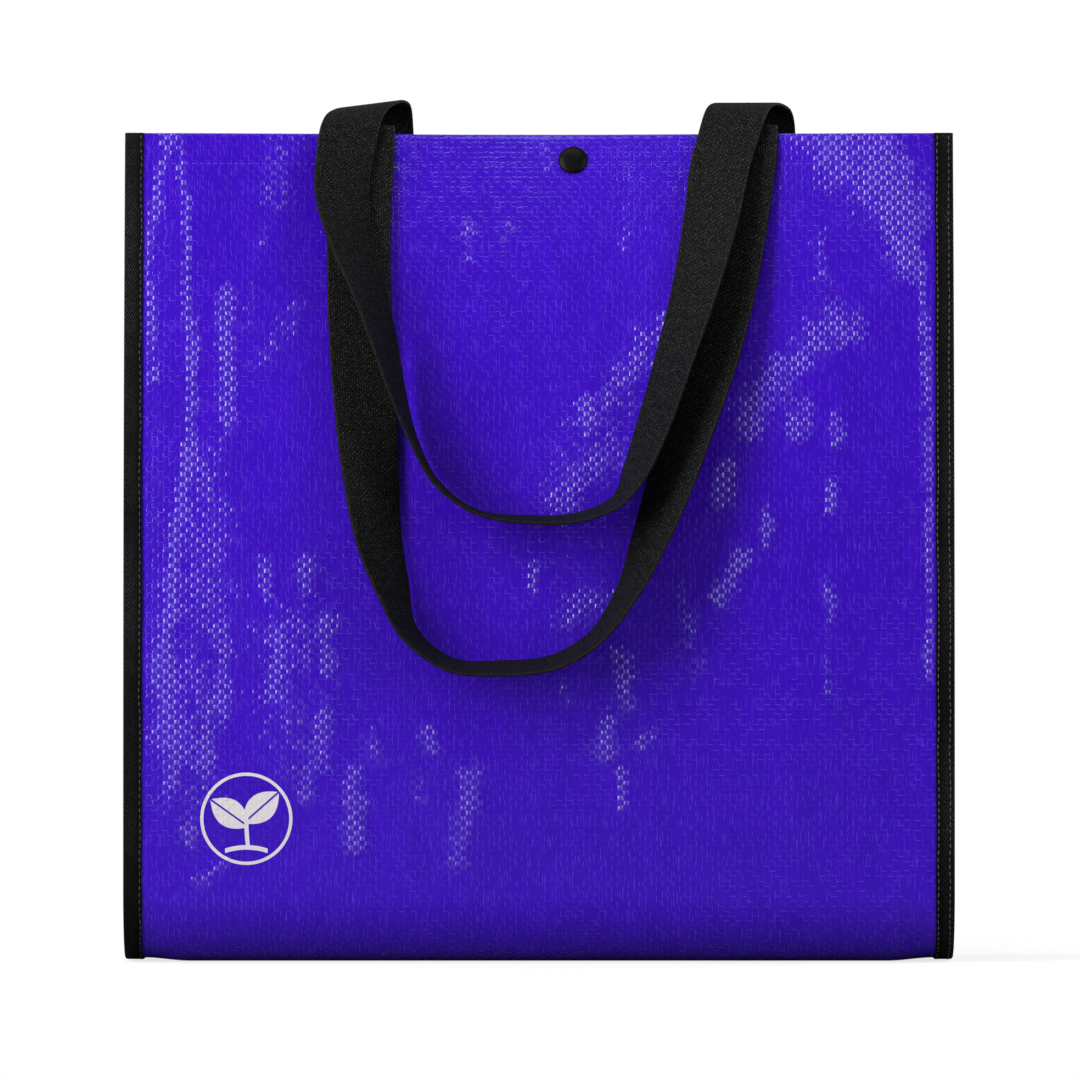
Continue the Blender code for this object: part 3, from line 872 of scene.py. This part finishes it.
# %% The bindings
def binding_rows(side):
    stack_middle = SHEET + CLEARANCE / 2
    inner_x = SEAM_X + CLEARANCE
    faces = even(inner_x, EDGE_X, 4)
    section = [(x, BINDING_RADIUS) for x in faces[:-1]]
    for turn in even(math.pi / 2, -math.pi / 2, 10):
        section.append((EDGE_X + BINDING_RADIUS * math.cos(turn), BINDING_RADIUS * math.sin(turn)))
    section += [(x, -BINDING_RADIUS) for x in reversed(faces[:-1])]
    rows = []
    for run in whole_runs(HEM_START):
        along = inward(SEAM_X, run)
        foot = sheet_point(SEAM_X, run)
        if abs(run) >= HEM_START - 1e-9:
            foot.z = HEIGHT
        waver = 0.0004 * noise.noise(Vector((run * 45, 2.5 * side, 0.5)))
        row = []
        around = 0.0
        last = section[0]
        for x, out in section:
            around += math.dist(last, (x, out))
            last = (x, out)
            drift = waver * limited((EDGE_X - x) / (EDGE_X - inner_x))
            place = foot + along * (stack_middle - out)
            row.append((Vector((side * (x + drift), place.y, place.z)), (around * side, run)))
        rows.append(row)
    return rows


for side, hand in ((-1, "left"), (1, "right")):
    binding = cut_sheet(hand + "_binding", binding_rows(side))
    thicken(binding, BINDING_SHEET, 0.0)
    settle(binding, "binding_" + hand, binding_tape)

# %% [markdown]
# The handles are 31 mm polypropylene webbing, sewn inside the rims and folded over them. Webbing is limp
# across its flat face and stiff across its edge, so a loop that hangs from two points turns its edge
# outwards at the bottom. Each handle is swept through stations: its place across, its drop below the rim,
# the share of the way to the front, its stand-off, and in degrees the heading of its flat width and how far
# it has turned up on its edge.


# %% Stations of the handles
FRONT_LEFT_X = -0.085
FRONT_RIGHT_X = 0.1005
BACK_LEFT_X = -0.0763
BACK_RIGHT_X = 0.1105

FRONT_LOOP = (
    (-0.0855, 0.012, 1, 0.0026, 180, 0),
    (-0.0870, 0.050, 1, 0.0040, 180, 1),
    (-0.0860, 0.095, 1, 0.0050, 181, 4),
    (-0.0830, 0.139, 1, 0.0080, 187, 15),
    (-0.0805, 0.168, 1, 0.0115, 190, 31),
    (-0.0766, 0.197, 1, 0.0145, 194, 46),
    (-0.0700, 0.220, 1, 0.0160, 202, 60),
    (-0.0622, 0.2410, 1, 0.0170, 222, 75),
    (-0.0440, 0.2558, 1, 0.0175, 252, 79),
    (-0.0164, 0.2580, 1, 0.0175, 270, 78),
    (0.0080, 0.2550, 1, 0.0175, 290, 78),
    (0.0270, 0.2435, 1, 0.0175, 315, 77),
    (0.0400, 0.2260, 1, 0.0170, 332, 72),
    (0.0530, 0.1967, 1, 0.0160, 337, 57),
    (0.0620, 0.1720, 1, 0.0150, 339, 46),
    (0.0725, 0.1400, 1, 0.0120, 343, 36),
    (0.0830, 0.1050, 1, 0.0085, 346, 22),
    (0.0920, 0.0640, 1, 0.0055, 350, 10),
    (0.0975, 0.0280, 1, 0.0035, 356, 2),
    (0.1000, 0.0100, 1, 0.0024, 360, 0),
)
BACK_LOOP = (
    (-0.0764, 0.0, -1, -0.0028, 180, 0),
    (-0.0768, -0.0065, -0.80, 0, 182, 0),
    (-0.0775, -0.0128, -0.55, 0, 185, 0),
    (-0.0800, -0.0150, -0.10, 0, 187, 0),
    (-0.0850, -0.0135, 0.45, 0, 187, 1),
    (-0.0890, -0.0095, 0.88, 0, 186, 4),
    (-0.0912, -0.0040, 1, 0.0042, 185, 7),
    (-0.0930, 0.0060, 1, 0.0082, 184, 12),
    (-0.0950, 0.0280, 1, 0.0120, 186, 24),
    (-0.0905, 0.0520, 1, 0.0165, 194, 42),
    (-0.0820, 0.0760, 1, 0.0195, 200, 55),
    (-0.0740, 0.1030, 1, 0.0210, 200, 65),
    (-0.0685, 0.1240, 1, 0.0205, 202, 74),
    (-0.0605, 0.1480, 1, 0.0190, 206, 83),
    (-0.0480, 0.1705, 1, 0.0180, 220, 86),
    (-0.0310, 0.1828, 1, 0.0175, 250, 87),
    (-0.0050, 0.1868, 1, 0.0175, 270, 84),
    (0.0230, 0.1848, 1, 0.0175, 282, 82),
    (0.0380, 0.1775, 1, 0.0180, 310, 79),
    (0.0460, 0.1640, 1, 0.0185, 333, 68),
    (0.0540, 0.1440, 1, 0.0185, 342, 60),
    (0.0640, 0.1130, 1, 0.0180, 344, 53),
    (0.0750, 0.0760, 1, 0.0155, 346, 41),
    (0.0830, 0.0420, 1, 0.0115, 350, 25),
    (0.0885, 0.0120, 1, 0.0080, 356, 10),
    (0.0918, 0.0010, 1, 0.0062, 357, 6),
    (0.0935, -0.0050, 1, 0.0036, 358, 4),
    (0.0955, -0.0105, 0.85, 0, 359, 2),
    (0.0990, -0.0148, 0.35, 0, 360, 0),
    (0.1045, -0.0150, -0.20, 0, 360, 0),
    (0.1085, -0.0120, -0.60, 0, 360, 0),
    (0.1100, -0.0060, -0.82, 0, 360, 0),
    (0.1104, 0.0, -1, -0.0028, 360, 0),
)


def sewn_end(x, share, heading):
    drops = (STRAP_SEWN, 0.63 * STRAP_SEWN, 0.26 * STRAP_SEWN)
    return [(x, drop, share, -STRAP_INSIDE, heading, 0) for drop in drops]


def rim_arch(x, heading):
    """The strap folded closely over the rim, from inside to outside."""
    middle = (STRAP_OUTSIDE - STRAP_INSIDE) / 2
    half = (STRAP_OUTSIDE + STRAP_INSIDE) / 2
    turns = even(0.0, math.pi, 4)
    places = [(-STRAP_ARCH * math.sin(turn), middle - half * math.cos(turn)) for turn in turns]
    return [(x, drop, 1, out, heading, 0) for drop, out in places]


def front_handle():
    left = sewn_end(FRONT_LEFT_X, 1, 180) + rim_arch(FRONT_LEFT_X, 180)
    right = sewn_end(FRONT_RIGHT_X, 1, 360) + rim_arch(FRONT_RIGHT_X, 360)
    return left + list(FRONT_LOOP) + right[::-1]


def back_handle():
    left = sewn_end(BACK_LEFT_X, -1, 180)
    right = sewn_end(BACK_RIGHT_X, -1, 360)
    return left + list(BACK_LOOP) + right[::-1]


def strap_section(station):
    """Middle of a strap at one station, and its heading and turn."""
    x, drop, share, out, heading, turn = station
    z = HEIGHT - drop
    step = 0.001
    slope = share * (smooth_reach(x - step, z) - smooth_reach(x + step, z)) / (2 * step)
    heading = math.radians(heading)
    turn = math.radians(turn) - math.asin(slope * math.cos(heading))
    middle = Vector((x, -share * (smooth_reach(x, z) + out), z))
    return (*middle, heading, turn)


# %% [markdown]
# A smooth path runs through the stations, and webbing is laid along it: a thin section with rounded edges,
# carried along as rows of one sheet that closes on itself. Its two ends are capped.


# %% Sweeping the webbing
STRAP_STEP = 0.0035


def smooth_path(points, spacing):
    """Points along a smooth curve through the given ones, any number of values each."""
    lengths = [max(math.dist(a[:3], b[:3]), 1e-6) for a, b in zip(points, points[1:])]
    slopes = [[(b - a) / h for a, b in zip(p, q)] for p, q, h in zip(points, points[1:], lengths)]
    tangents = [slopes[0]]
    for before, after, h0, h1 in zip(slopes, slopes[1:], lengths, lengths[1:]):
        tangents.append([(a * h1 + b * h0) / (h0 + h1) for a, b in zip(before, after)])
    tangents.append(slopes[-1])
    path = [points[0]]
    for p, q, m, n, h in zip(points, points[1:], tangents, tangents[1:], lengths):
        count = max(3, round(h / spacing))
        for step in range(1, count + 1):
            t = step / count
            a = 2 * t**3 - 3 * t**2 + 1
            b = (t**3 - 2 * t**2 + t) * h
            c = 3 * t**2 - 2 * t**3
            d = (t**3 - t**2) * h
            path.append(tuple(a * i + b * j + c * k + d * l for i, j, k, l in zip(p, m, q, n)))
    return path


def strap_outline():
    """The webbing's section, as shares of its width and of its thickness, once round."""
    across = even(-0.5, 0.5, 14)
    rounded = 0.5 * STRAP_SHEET / STRAP_WIDTH
    top = [(limited(a, -0.5 + rounded, 0.5 - rounded), 0.5) for a in across]
    turns = even(math.pi / 2, -math.pi / 2, 6)
    right = [(0.5 - rounded * (1 - math.cos(turn)), 0.5 * math.sin(turn)) for turn in turns]
    bottom = [(-a, -b) for a, b in top]
    left = [(-a, -b) for a, b in right]
    return top + right[1:-1] + bottom + left[1:-1] + [top[0]]


def strap_rows(stations):
    path = smooth_path([strap_section(each) for each in stations], STRAP_STEP)
    outline = strap_outline()
    rows = []
    run = 0.0
    for index, (x, y, z, heading, turn) in enumerate(path):
        middle = Vector((x, y, z))
        before = Vector(path[max(index - 1, 0)][:3])
        after = Vector(path[min(index + 1, len(path) - 1)][:3])
        if index:
            run += (middle - before).length
        flat = math.cos(turn)
        across = Vector((math.cos(heading) * flat, -math.sin(turn), math.sin(heading) * flat))
        through = across.cross(after - before).normalized()
        row = []
        for share, depth in outline:
            place = middle + across * (STRAP_WIDTH * share) + through * (STRAP_SHEET * depth)
            row.append((place, (share * STRAP_WIDTH, run)))
        rows.append(row)
    return rows, run


def cap_ends(piece):
    """Fills the open ends of a swept piece and points its faces outwards."""
    in_edit_mode(
        piece,
        lambda: bpy.ops.mesh.select_all(action="DESELECT"),
        lambda: bpy.ops.mesh.select_mode(type="EDGE"),
        lambda: bpy.ops.mesh.select_non_manifold(extend=False, use_boundary=True, use_wire=False),
        lambda: bpy.ops.mesh.fill(use_beauty=True),
        lambda: bpy.ops.mesh.select_mode(type="VERT"),
        lambda: bpy.ops.mesh.select_all(action="SELECT"),
        lambda: bpy.ops.mesh.normals_make_consistent(inside=False),
    )
    only(piece)
    bpy.ops.object.shade_smooth_by_angle(angle=SMOOTH_BELOW)


# %% [markdown]
# Webbing is woven from thick yarns, so each crossing stands up as a dome, in rows that run a little aslant.
# It is black all through, and what shows the weave is a painted highlight: the top of each dome is coloured
# lighter, some of them duller than others, and a paler brownish line runs along the edges.


# %% Finish of the webbing, and the handles
def webbing_finish():
    material, finish = new_material("black webbing")
    across, along = finish.flat_place()
    yarn, pick, slant = 0.00118, 0.00112, 0.22
    columns = across / yarn
    column, row, in_column, in_row, on_top = crossings(columns, along / pick + columns * slant)
    cell = finish.chance(finish.plane(column, row))
    dome = in_column.math("COSINE") * in_row.math("COSINE") * (0.5 + 0.5 * on_top)
    uneven = finish.noise(finish.plane(across, along), 260.0, 3.0)
    selvedge = across.math("ABSOLUTE").ramp(0.0140, 0.0152)
    speck = finish.noise(finish.plane(across, along), 1000.0, 2.0).ramp(0.30, 0.72)
    # Painted highlight: the top of each yarn dome is coloured lighter, some duller than others.
    lit = dome.ramp(-0.10, 0.95) * (0.35 + 0.65 * cell) * (0.35 + uneven) * (0.20 + 1.35 * speck)
    colour = finish.blend(lit, (0.0012, 0.0012, 0.0014, 1.0), (0.054, 0.054, 0.053, 1.0))
    colour = finish.blend(selvedge * uneven * 0.5, colour, (0.030, 0.028, 0.021, 1.0))
    surface(finish, colour, 0.65 + 0.12 * uneven, dome * 0.16 + uneven * 0.12, 0.05)
    return material


webbing = webbing_finish()
for name, node, stations in (
    ("front_webbing_handle", "handle_front", front_handle()),
    ("back_webbing_handle", "handle_back", back_handle()),
):
    rows, strap_length = strap_rows(stations)
    handle = cut_sheet(name, rows)
    cap_ends(handle)
    settle(handle, node, webbing)
    print(f"{name} is {strap_length:.3f} m long")

# %% [markdown]
# The snap is moulded in black plastic: two domed caps outside, a stud and a socket inside. A round piece is
# modelled as by hand, from a disc that is extruded and scaled ring by ring along its profile, so each face
# ring is where the profile turns.


# %% The snap
def turned(name, profile, sides=48):
    """A round piece from its profile, from the outer edge of its flat back to the axis."""
    radius, height = profile[0]
    disc = {"vertices": sides, "radius": radius, "fill_type": "NGON", "location": (0, 0, height)}
    piece = added(name, bpy.ops.mesh.primitive_circle_add, **disc)
    bpy.ops.object.transform_apply(location=True)
    bpy.ops.object.mode_set(mode="EDIT")
    bpy.ops.mesh.select_mode(type="FACE")
    bpy.ops.mesh.select_all(action="SELECT")
    for next_radius, next_height in profile[1:]:
        lift = {"value": (0.0, 0.0, next_height - height)}
        bpy.ops.mesh.extrude_region_move(TRANSFORM_OT_translate=lift)
        share = next_radius / radius
        bpy.ops.transform.resize(value=(share, share, 1.0), center_override=(0.0, 0.0, next_height))
        radius, height = next_radius, next_height
    bpy.ops.mesh.select_mode(type="VERT")
    bpy.ops.mesh.select_all(action="SELECT")
    bpy.ops.mesh.normals_make_consistent(inside=False)
    bpy.ops.object.mode_set(mode="OBJECT")
    bpy.ops.object.shade_smooth_by_angle(angle=math.radians(35))
    return piece


def seat_on_panel(piece, side, out):
    """Puts a round piece on the front or back panel, its axis square to it, the given distance out."""
    z = HEIGHT - SNAP_DROP
    step = 0.001
    across = smooth_reach(SNAP_X + step, z) - smooth_reach(SNAP_X - step, z)
    up = smooth_reach(SNAP_X, z + step) - smooth_reach(SNAP_X, z - step)
    normal = Vector((-across, 2 * step, -up)).normalized()
    normal.y *= side
    facing = normal if out > 0 else -normal
    only(piece)
    piece.location = Vector((SNAP_X, side * panel_reach(SNAP_X, z, side), z)) + normal * out
    piece.rotation_euler = facing.to_track_quat("Z", "Y").to_euler()
    bpy.ops.object.transform_apply(location=True, rotation=True)


def cap_profile():
    radius, height = SNAP_CAP_RADIUS, SNAP_CAP_HEIGHT
    lip = 0.35 * height
    crown = [(radius * 0.97, 0.0), (radius, 0.25 * lip), (radius, 0.8 * lip)]
    for turn in even(math.radians(82), math.radians(6), 9):
        crown.append((0.985 * radius * math.sin(turn), lip + (height - lip) * math.cos(turn)))
    return crown


def stud_profile():
    flange = 0.3 * SNAP_KNOB_HEIGHT
    neck = 0.85 * SNAP_KNOB_RADIUS
    return [
        (SNAP_INNER_RADIUS, 0.0),
        (SNAP_INNER_RADIUS, 0.6 * flange),
        (0.95 * SNAP_INNER_RADIUS, flange),
        (neck, flange),
        (neck, 0.5 * SNAP_KNOB_HEIGHT),
        (SNAP_KNOB_RADIUS, 0.78 * SNAP_KNOB_HEIGHT),
        (0.92 * SNAP_KNOB_RADIUS, 0.92 * SNAP_KNOB_HEIGHT),
        (0.72 * SNAP_KNOB_RADIUS, SNAP_KNOB_HEIGHT),
    ]


def socket_profile():
    well = SNAP_KNOB_RADIUS + CLEARANCE
    ring = 1.6 * well
    flange = 0.3 * SNAP_KNOB_HEIGHT
    return [
        (SNAP_INNER_RADIUS, 0.0),
        (SNAP_INNER_RADIUS, 0.6 * flange),
        (0.95 * SNAP_INNER_RADIUS, flange),
        (ring, flange),
        (ring, 0.84 * SNAP_KNOB_HEIGHT),
        (0.96 * ring, 0.9 * SNAP_KNOB_HEIGHT),
        (1.06 * well, 0.9 * SNAP_KNOB_HEIGHT),
        (well, 0.84 * SNAP_KNOB_HEIGHT),
        (well, 0.5 * flange),
    ]


def snap_finish():
    material, finish = new_material("black moulded plastic")
    place = finish.value("ShaderNodeTexCoord", "Object")
    grain = finish.noise(place, 900.0, 2.0)
    cloud = finish.noise(place, 160.0, 2.0)
    cool_black, warm_black = (0.0026, 0.0026, 0.0034, 1.0), (0.0050, 0.0050, 0.0046, 1.0)
    colour = finish.blend(cloud.ramp(0.3, 0.7), cool_black, warm_black)
    surface(finish, colour, 0.30 + 0.10 * cloud, grain * 0.02 + cloud * 0.05, 0.09)
    return material


snap_plastic = snap_finish()
inside_out = 2 * HEM_RADIUS + CLEARANCE
for name, node, profile, side, out in (
    ("front_snap_cap", "snap_cap_front", cap_profile(), -1, CLEARANCE),
    ("front_snap_stud", "snap_stud", stud_profile(), -1, -inside_out),
    ("back_snap_cap", "snap_cap_back", cap_profile(), 1, CLEARANCE),
    ("back_snap_socket", "snap_socket", socket_profile(), 1, -inside_out),
):
    snap_part = turned(name, profile)
    seat_on_panel(snap_part, side, out)
    settle(snap_part, node, snap_plastic)

# %% [markdown]
# The sewing. A stitch is modelled once, as a short thread pressed into the cloth, and copied along each
# seam with its own place and direction: the hems, both faces of the bindings, and the box with a cross that
# holds each handle end. Thread on the laminate is violet and hardly shows, on the webbing it is black, and
# on the bindings it is grey and shows as fine dashes.

# %% Stitches
STITCH = 0.0034
STITCH_LONG = 0.0026
THREAD = 0.00026

stitch_size = (STITCH_LONG, 2 * THREAD, 1.5 * THREAD)
stitch_model = added("stitch", bpy.ops.mesh.primitive_uv_sphere_add, segments=6, ring_count=5, radius=0.5)
in_edit_mode(
    stitch_model,
    lambda: bpy.ops.mesh.select_all(action="SELECT"),
    lambda: bpy.ops.transform.resize(value=stitch_size, center_override=(0, 0, 0)),
)
stitch_points = [vertex.co.copy() for vertex in stitch_model.data.vertices]
stitch_faces = [list(face.vertices) for face in stitch_model.data.polygons]
bpy.data.objects.remove(stitch_model, do_unlink=True)


def sewn_line(points, normals):
    """Stitch places along a line: middle, direction and surface normal of each."""
    places = []
    left_over = STITCH / 2
    for (a, b), (m, n) in zip(zip(points, points[1:]), zip(normals, normals[1:])):
        length = (b - a).length
        while left_over < length:
            share = left_over / length
            places.append((a.lerp(b, share), (b - a).normalized(), m.lerp(n, share).normalized()))
            left_over += STITCH
        left_over -= length
    return places


def sew(name, places, finish):
    """One mesh with a copy of the stitch at each place."""
    points, faces = [], []
    for middle, direction, normal in places:
        sideways = normal.cross(direction).normalized()
        up = direction.cross(sideways)
        turn = Matrix((direction, sideways, up)).transposed()
        start = len(points)
        points += [middle + turn @ point for point in stitch_points]
        faces += [[start + index for index in face] for face in stitch_faces]
    mesh = bpy.data.meshes.new(name)
    mesh.from_pydata(points, [], faces)
    piece = bpy.data.objects.new(name, mesh)
    bpy.context.scene.collection.objects.link(piece)
    mesh.shade_smooth()
    settle(piece, None, finish)


def thread_finish(name, colour, dark):
    material, finish = new_material(name)
    place = finish.value("ShaderNodeTexCoord", "Object")
    uneven = finish.noise(place, 700.0, 2.0)
    surface(finish, finish.blend(uneven, dark, colour), 0.45, uneven * 0.05, 0.25)
    return material


violet_thread = thread_finish("violet thread", (0.150, 0.080, 0.72, 1.0), (0.045, 0.008, 0.45, 1.0))
black_thread = thread_finish("black thread", grey(0.018), grey(0.008))
dark_thread = thread_finish("dark grey thread", (0.110, 0.110, 0.105, 1.0), grey(0.008))
grey_thread = thread_finish("grey thread", (0.150, 0.150, 0.145, 1.0), grey(0.030))


# %% Sewing the hems, bindings and handle ends
THREAD_SEAT = 0.00005  # how far a stitch's middle stands out of laminate, binding and webbing
BINDING_SEAT = 0.00004
WEBBING_SEAT = 0.00002
BOX_MARGIN = 0.003
BOX_DROP = 0.010


def panel_normal(x, z, side):
    step = 0.002
    across = (panel_reach(x + step, z, side) - panel_reach(x - step, z, side)) / (2 * step)
    up = (panel_reach(x, z + step, side) - panel_reach(x, z - step, side)) / (2 * step)
    return Vector((-across, side, -up)).normalized()


def on_panel(x, z, side, out):
    """A point the given distance outside the panel, and the direction that a stitch there faces."""
    normal = panel_normal(x, z, side)
    facing = normal if out >= 0 else -normal
    return Vector((x, side * panel_reach(x, z, side), z)) + normal * out, facing


def panel_line(ends, side, out, most=0.006):
    (x0, z0), (x1, z1) = ends
    count = max(1, round(math.dist(*ends) / most))
    shares = even(0.0, 1.0, count)
    placed = [on_panel(x0 + (x1 - x0) * t, z0 + (z1 - z0) * t, side, out) for t in shares]
    return sewn_line([point for point, _ in placed], [facing for _, facing in placed])


hem_places = []
hem_reach = SEAM_X - HEM_END - BOX_MARGIN
for side in (-1, 1):
    hem_line = ((-hem_reach, HEIGHT - HEM_STITCH), (hem_reach, HEIGHT - HEM_STITCH))
    for out in (THREAD_SEAT, -2 * HEM_RADIUS - THREAD_SEAT):
        hem_places += panel_line(hem_line, side, out)
sew("hem_stitches", hem_places, violet_thread)


def handle_box(x, side):
    """Lines of the box and cross that hold a handle's end."""
    low, high = HEIGHT - STRAP_SEWN + BOX_MARGIN, HEIGHT - BOX_DROP
    left, right = x - STRAP_WIDTH / 2 + BOX_MARGIN, x + STRAP_WIDTH / 2 - BOX_MARGIN
    corners = ((left, low), (right, low), (right, high), (left, high))
    lines = list(zip(corners, corners[1:] + corners[:1]))
    return lines + [(corners[0], corners[2]), (corners[1], corners[3])]


outer_places, inner_places = [], []
strap_face = -STRAP_INSIDE - STRAP_SHEET / 2 - WEBBING_SEAT
for x, side in ((FRONT_LEFT_X, -1), (FRONT_RIGHT_X, -1), (BACK_LEFT_X, 1), (BACK_RIGHT_X, 1)):
    for line in handle_box(x, side):
        outer_places += panel_line(line, side, THREAD_SEAT)
        inner_places += panel_line(line, side, strap_face)
sew("handle_stitches_outside", outer_places, violet_thread)
sew("handle_stitches_inside", inner_places, black_thread)


def binding_line(side, x):
    """Stitches on both faces of a binding, at a place across it."""
    face = BINDING_RADIUS + BINDING_SHEET / 2 + BINDING_SEAT
    places = []
    for out in (face, -face):
        points, normals = [], []
        for run in whole_runs(HEM_START):
            along = inward(SEAM_X, run)
            place = sheet_point(SEAM_X, run) + along * (SHEET + CLEARANCE / 2 - out)
            wander = 0.0006 * noise.noise(Vector((run * 110, 4.5 * side, 1.5)))
            points.append(Vector((side * (x + wander), place.y, place.z)))
            normals.append(along * (-1 if out > 0 else 1))
        places += sewn_line(points, normals)
    return places


INNER_SEAM = SEAM_X + 0.0014
OUTER_SEAM = EDGE_X - 0.0010
right_places = binding_line(1, INNER_SEAM) + binding_line(1, OUTER_SEAM)
sew("left_binding_stitches", binding_line(-1, INNER_SEAM), dark_thread)
sew("right_binding_stitches", right_places, grey_thread)

# %% [markdown]
# The studio. The bag stands on a plain pale floor. Two tall softboxes, left and right in front of it, make
# the paired upright glints on each crossing, a third above it lights the rim and the handles, and two more
# light the back. The background is white only to the camera and to rays that pass through something. In
# mirror rays the wall behind the bag is dimmer and the rest of the room dark, because a white room would
# haze the film from all sides. The floor whitens with distance, so it meets the background with no line.


# %% Floor
WALL_IN_MIRROR = 0.35
FLOOR_RADIUS = 2.4
BELOW_BAG = 0.0002
floor_disc = {"vertices": 96, "radius": FLOOR_RADIUS, "fill_type": "NGON", "location": (0, 0, -BELOW_BAG)}
floor = added("floor", bpy.ops.mesh.primitive_circle_add, **floor_disc)
bpy.ops.object.transform_apply(location=True)
floor_material, paint = new_material("pale floor")
place = paint.value("ShaderNodeTexCoord", "Object")
behind = paint.value("ShaderNodeSeparateXYZ", "Y", None, {"Vector": place}).ramp(0.1, 0.5)
in_gloss = paint.ray("Is Glossy Ray")
beyond = (in_gloss * WALL_IN_MIRROR + paint.ray("Is Transmission Ray")) * behind
seen = paint.ray("Is Camera Ray") + beyond
distance = paint.value("ShaderNodeVectorMath", "Value", {"operation": "LENGTH"}, {"Vector": place})
far = distance.ramp(0.25, 1.1)
lit_colour = paint.blend(in_gloss, grey(0.32), grey(0.12))
lit = paint.node("ShaderNodeBsdfDiffuse", None, {"Color": lit_colour})
pale = paint.node("ShaderNodeBsdfDiffuse", None, {"Color": paint.blend(far, grey(0.28), grey(0.0))})
glow = paint.node("ShaderNodeEmission", None, {"Color": paint.blend(far, grey(0.76), grey(1.0))})
both = paint.node("ShaderNodeAddShader")
either = paint.node("ShaderNodeMixShader", None, {"Fac": seen.math("MINIMUM", 1.0)})
out = paint.node("ShaderNodeOutputMaterial")
for start, end in (
    (pale.outputs[0], both.inputs[0]),
    (glow.outputs[0], both.inputs[1]),
    (lit.outputs[0], either.inputs[1]),
    (both.outputs[0], either.inputs[2]),
    (either.outputs[0], out.inputs["Surface"]),
):
    paint.tree.links.new(start, end)
floor.data.materials.append(floor_material)

# %% World
ROOM_LIGHT = 0.14
MIRRORED_ROOM = 0.03
world = bpy.data.worlds.new("studio")
bpy.context.scene.world = world
world.use_nodes = True
room = Finish(world.node_tree)
direction = room.value("ShaderNodeTexCoord", "Generated")
wall_side = room.value("ShaderNodeSeparateXYZ", "Y", None, {"Vector": direction}).ramp(0.1, 0.4)
through = room.ray("Is Transmission Ray")
mirrored = room.ray("Is Glossy Ray") + through
in_mirror = MIRRORED_ROOM + wall_side * (WALL_IN_MIRROR - MIRRORED_ROOM)
in_mirror = in_mirror + through * wall_side * (1.0 - WALL_IN_MIRROR)
strength = ROOM_LIGHT + mirrored * (in_mirror - ROOM_LIGHT)
strength = strength + room.ray("Is Camera Ray") * (1.0 - strength)
background = room.node("ShaderNodeBackground", None, {"Color": grey(1.0), "Strength": strength})
room.tree.links.new(background.outputs[0], room.node("ShaderNodeOutputWorld").inputs["Surface"])


# %% Lamps
def softbox(name, width, height, place, aim, brightness):
    """An area lamp turned to the point that it is aimed at, its brightness the radiance of its face."""
    light = bpy.data.lights.new(name, "AREA")
    light.shape = "RECTANGLE"
    light.size = width
    light.size_y = height
    light.energy = brightness * math.pi * width * height
    lamp = bpy.data.objects.new(name, light)
    bpy.context.scene.collection.objects.link(lamp)
    lamp.location = place
    lamp.rotation_euler = (Vector(aim) - Vector(place)).to_track_quat("-Z", "Y").to_euler()
    lamp.visible_camera = False


level_aim = (0.0, 0.0, 1.0)
softbox("left softbox", 0.80, 1.9, (-1.38, -1.25, 1.0), level_aim, 9.5)
softbox("right softbox", 0.60, 1.9, (1.38, -1.25, 1.0), level_aim, 4.2)
softbox("top softbox", 1.4, 0.7, (-0.2, -0.52, 1.95), (0.0, 0.0, HEIGHT / 2), 2.8)
softbox("back left softbox", 0.40, 1.9, (-1.70, 0.85, 1.0), level_aim, 11.0)
softbox("back right softbox", 0.40, 1.9, (1.70, 0.85, 1.0), level_aim, 12.0)

# %% [markdown]
# The camera stands straight in front of the bag, six metres away, so the rim and the base stay straight
# lines, and its lens makes one pixel of a 1080 pixel frame 0.482 mm at the front panel.

# %% Camera
PIXEL = 0.482e-3
FRAME = 1080
SENSOR = 36.0
BAG_MIDDLE, BAG_FOOT = 539, 962  # pixels from the frame's left and top edges
CAMERA_DISTANCE = 6.0
PANEL_Y = -0.060
camera_data = bpy.data.cameras.new("camera")
camera_data.sensor_width = SENSOR
camera_data.lens = SENSOR * CAMERA_DISTANCE / (FRAME * PIXEL)
camera = bpy.data.objects.new("camera", camera_data)
bpy.context.scene.collection.objects.link(camera)
camera_x = (FRAME / 2 - BAG_MIDDLE) * PIXEL
camera_z = (BAG_FOOT - FRAME / 2) * PIXEL
camera.location = (camera_x, PANEL_Y - CAMERA_DISTANCE, camera_z)
camera.rotation_euler = (math.pi / 2, 0.0, 0.0)
bpy.context.scene.camera = camera
bpy.context.scene.view_settings.view_transform = "Standard"
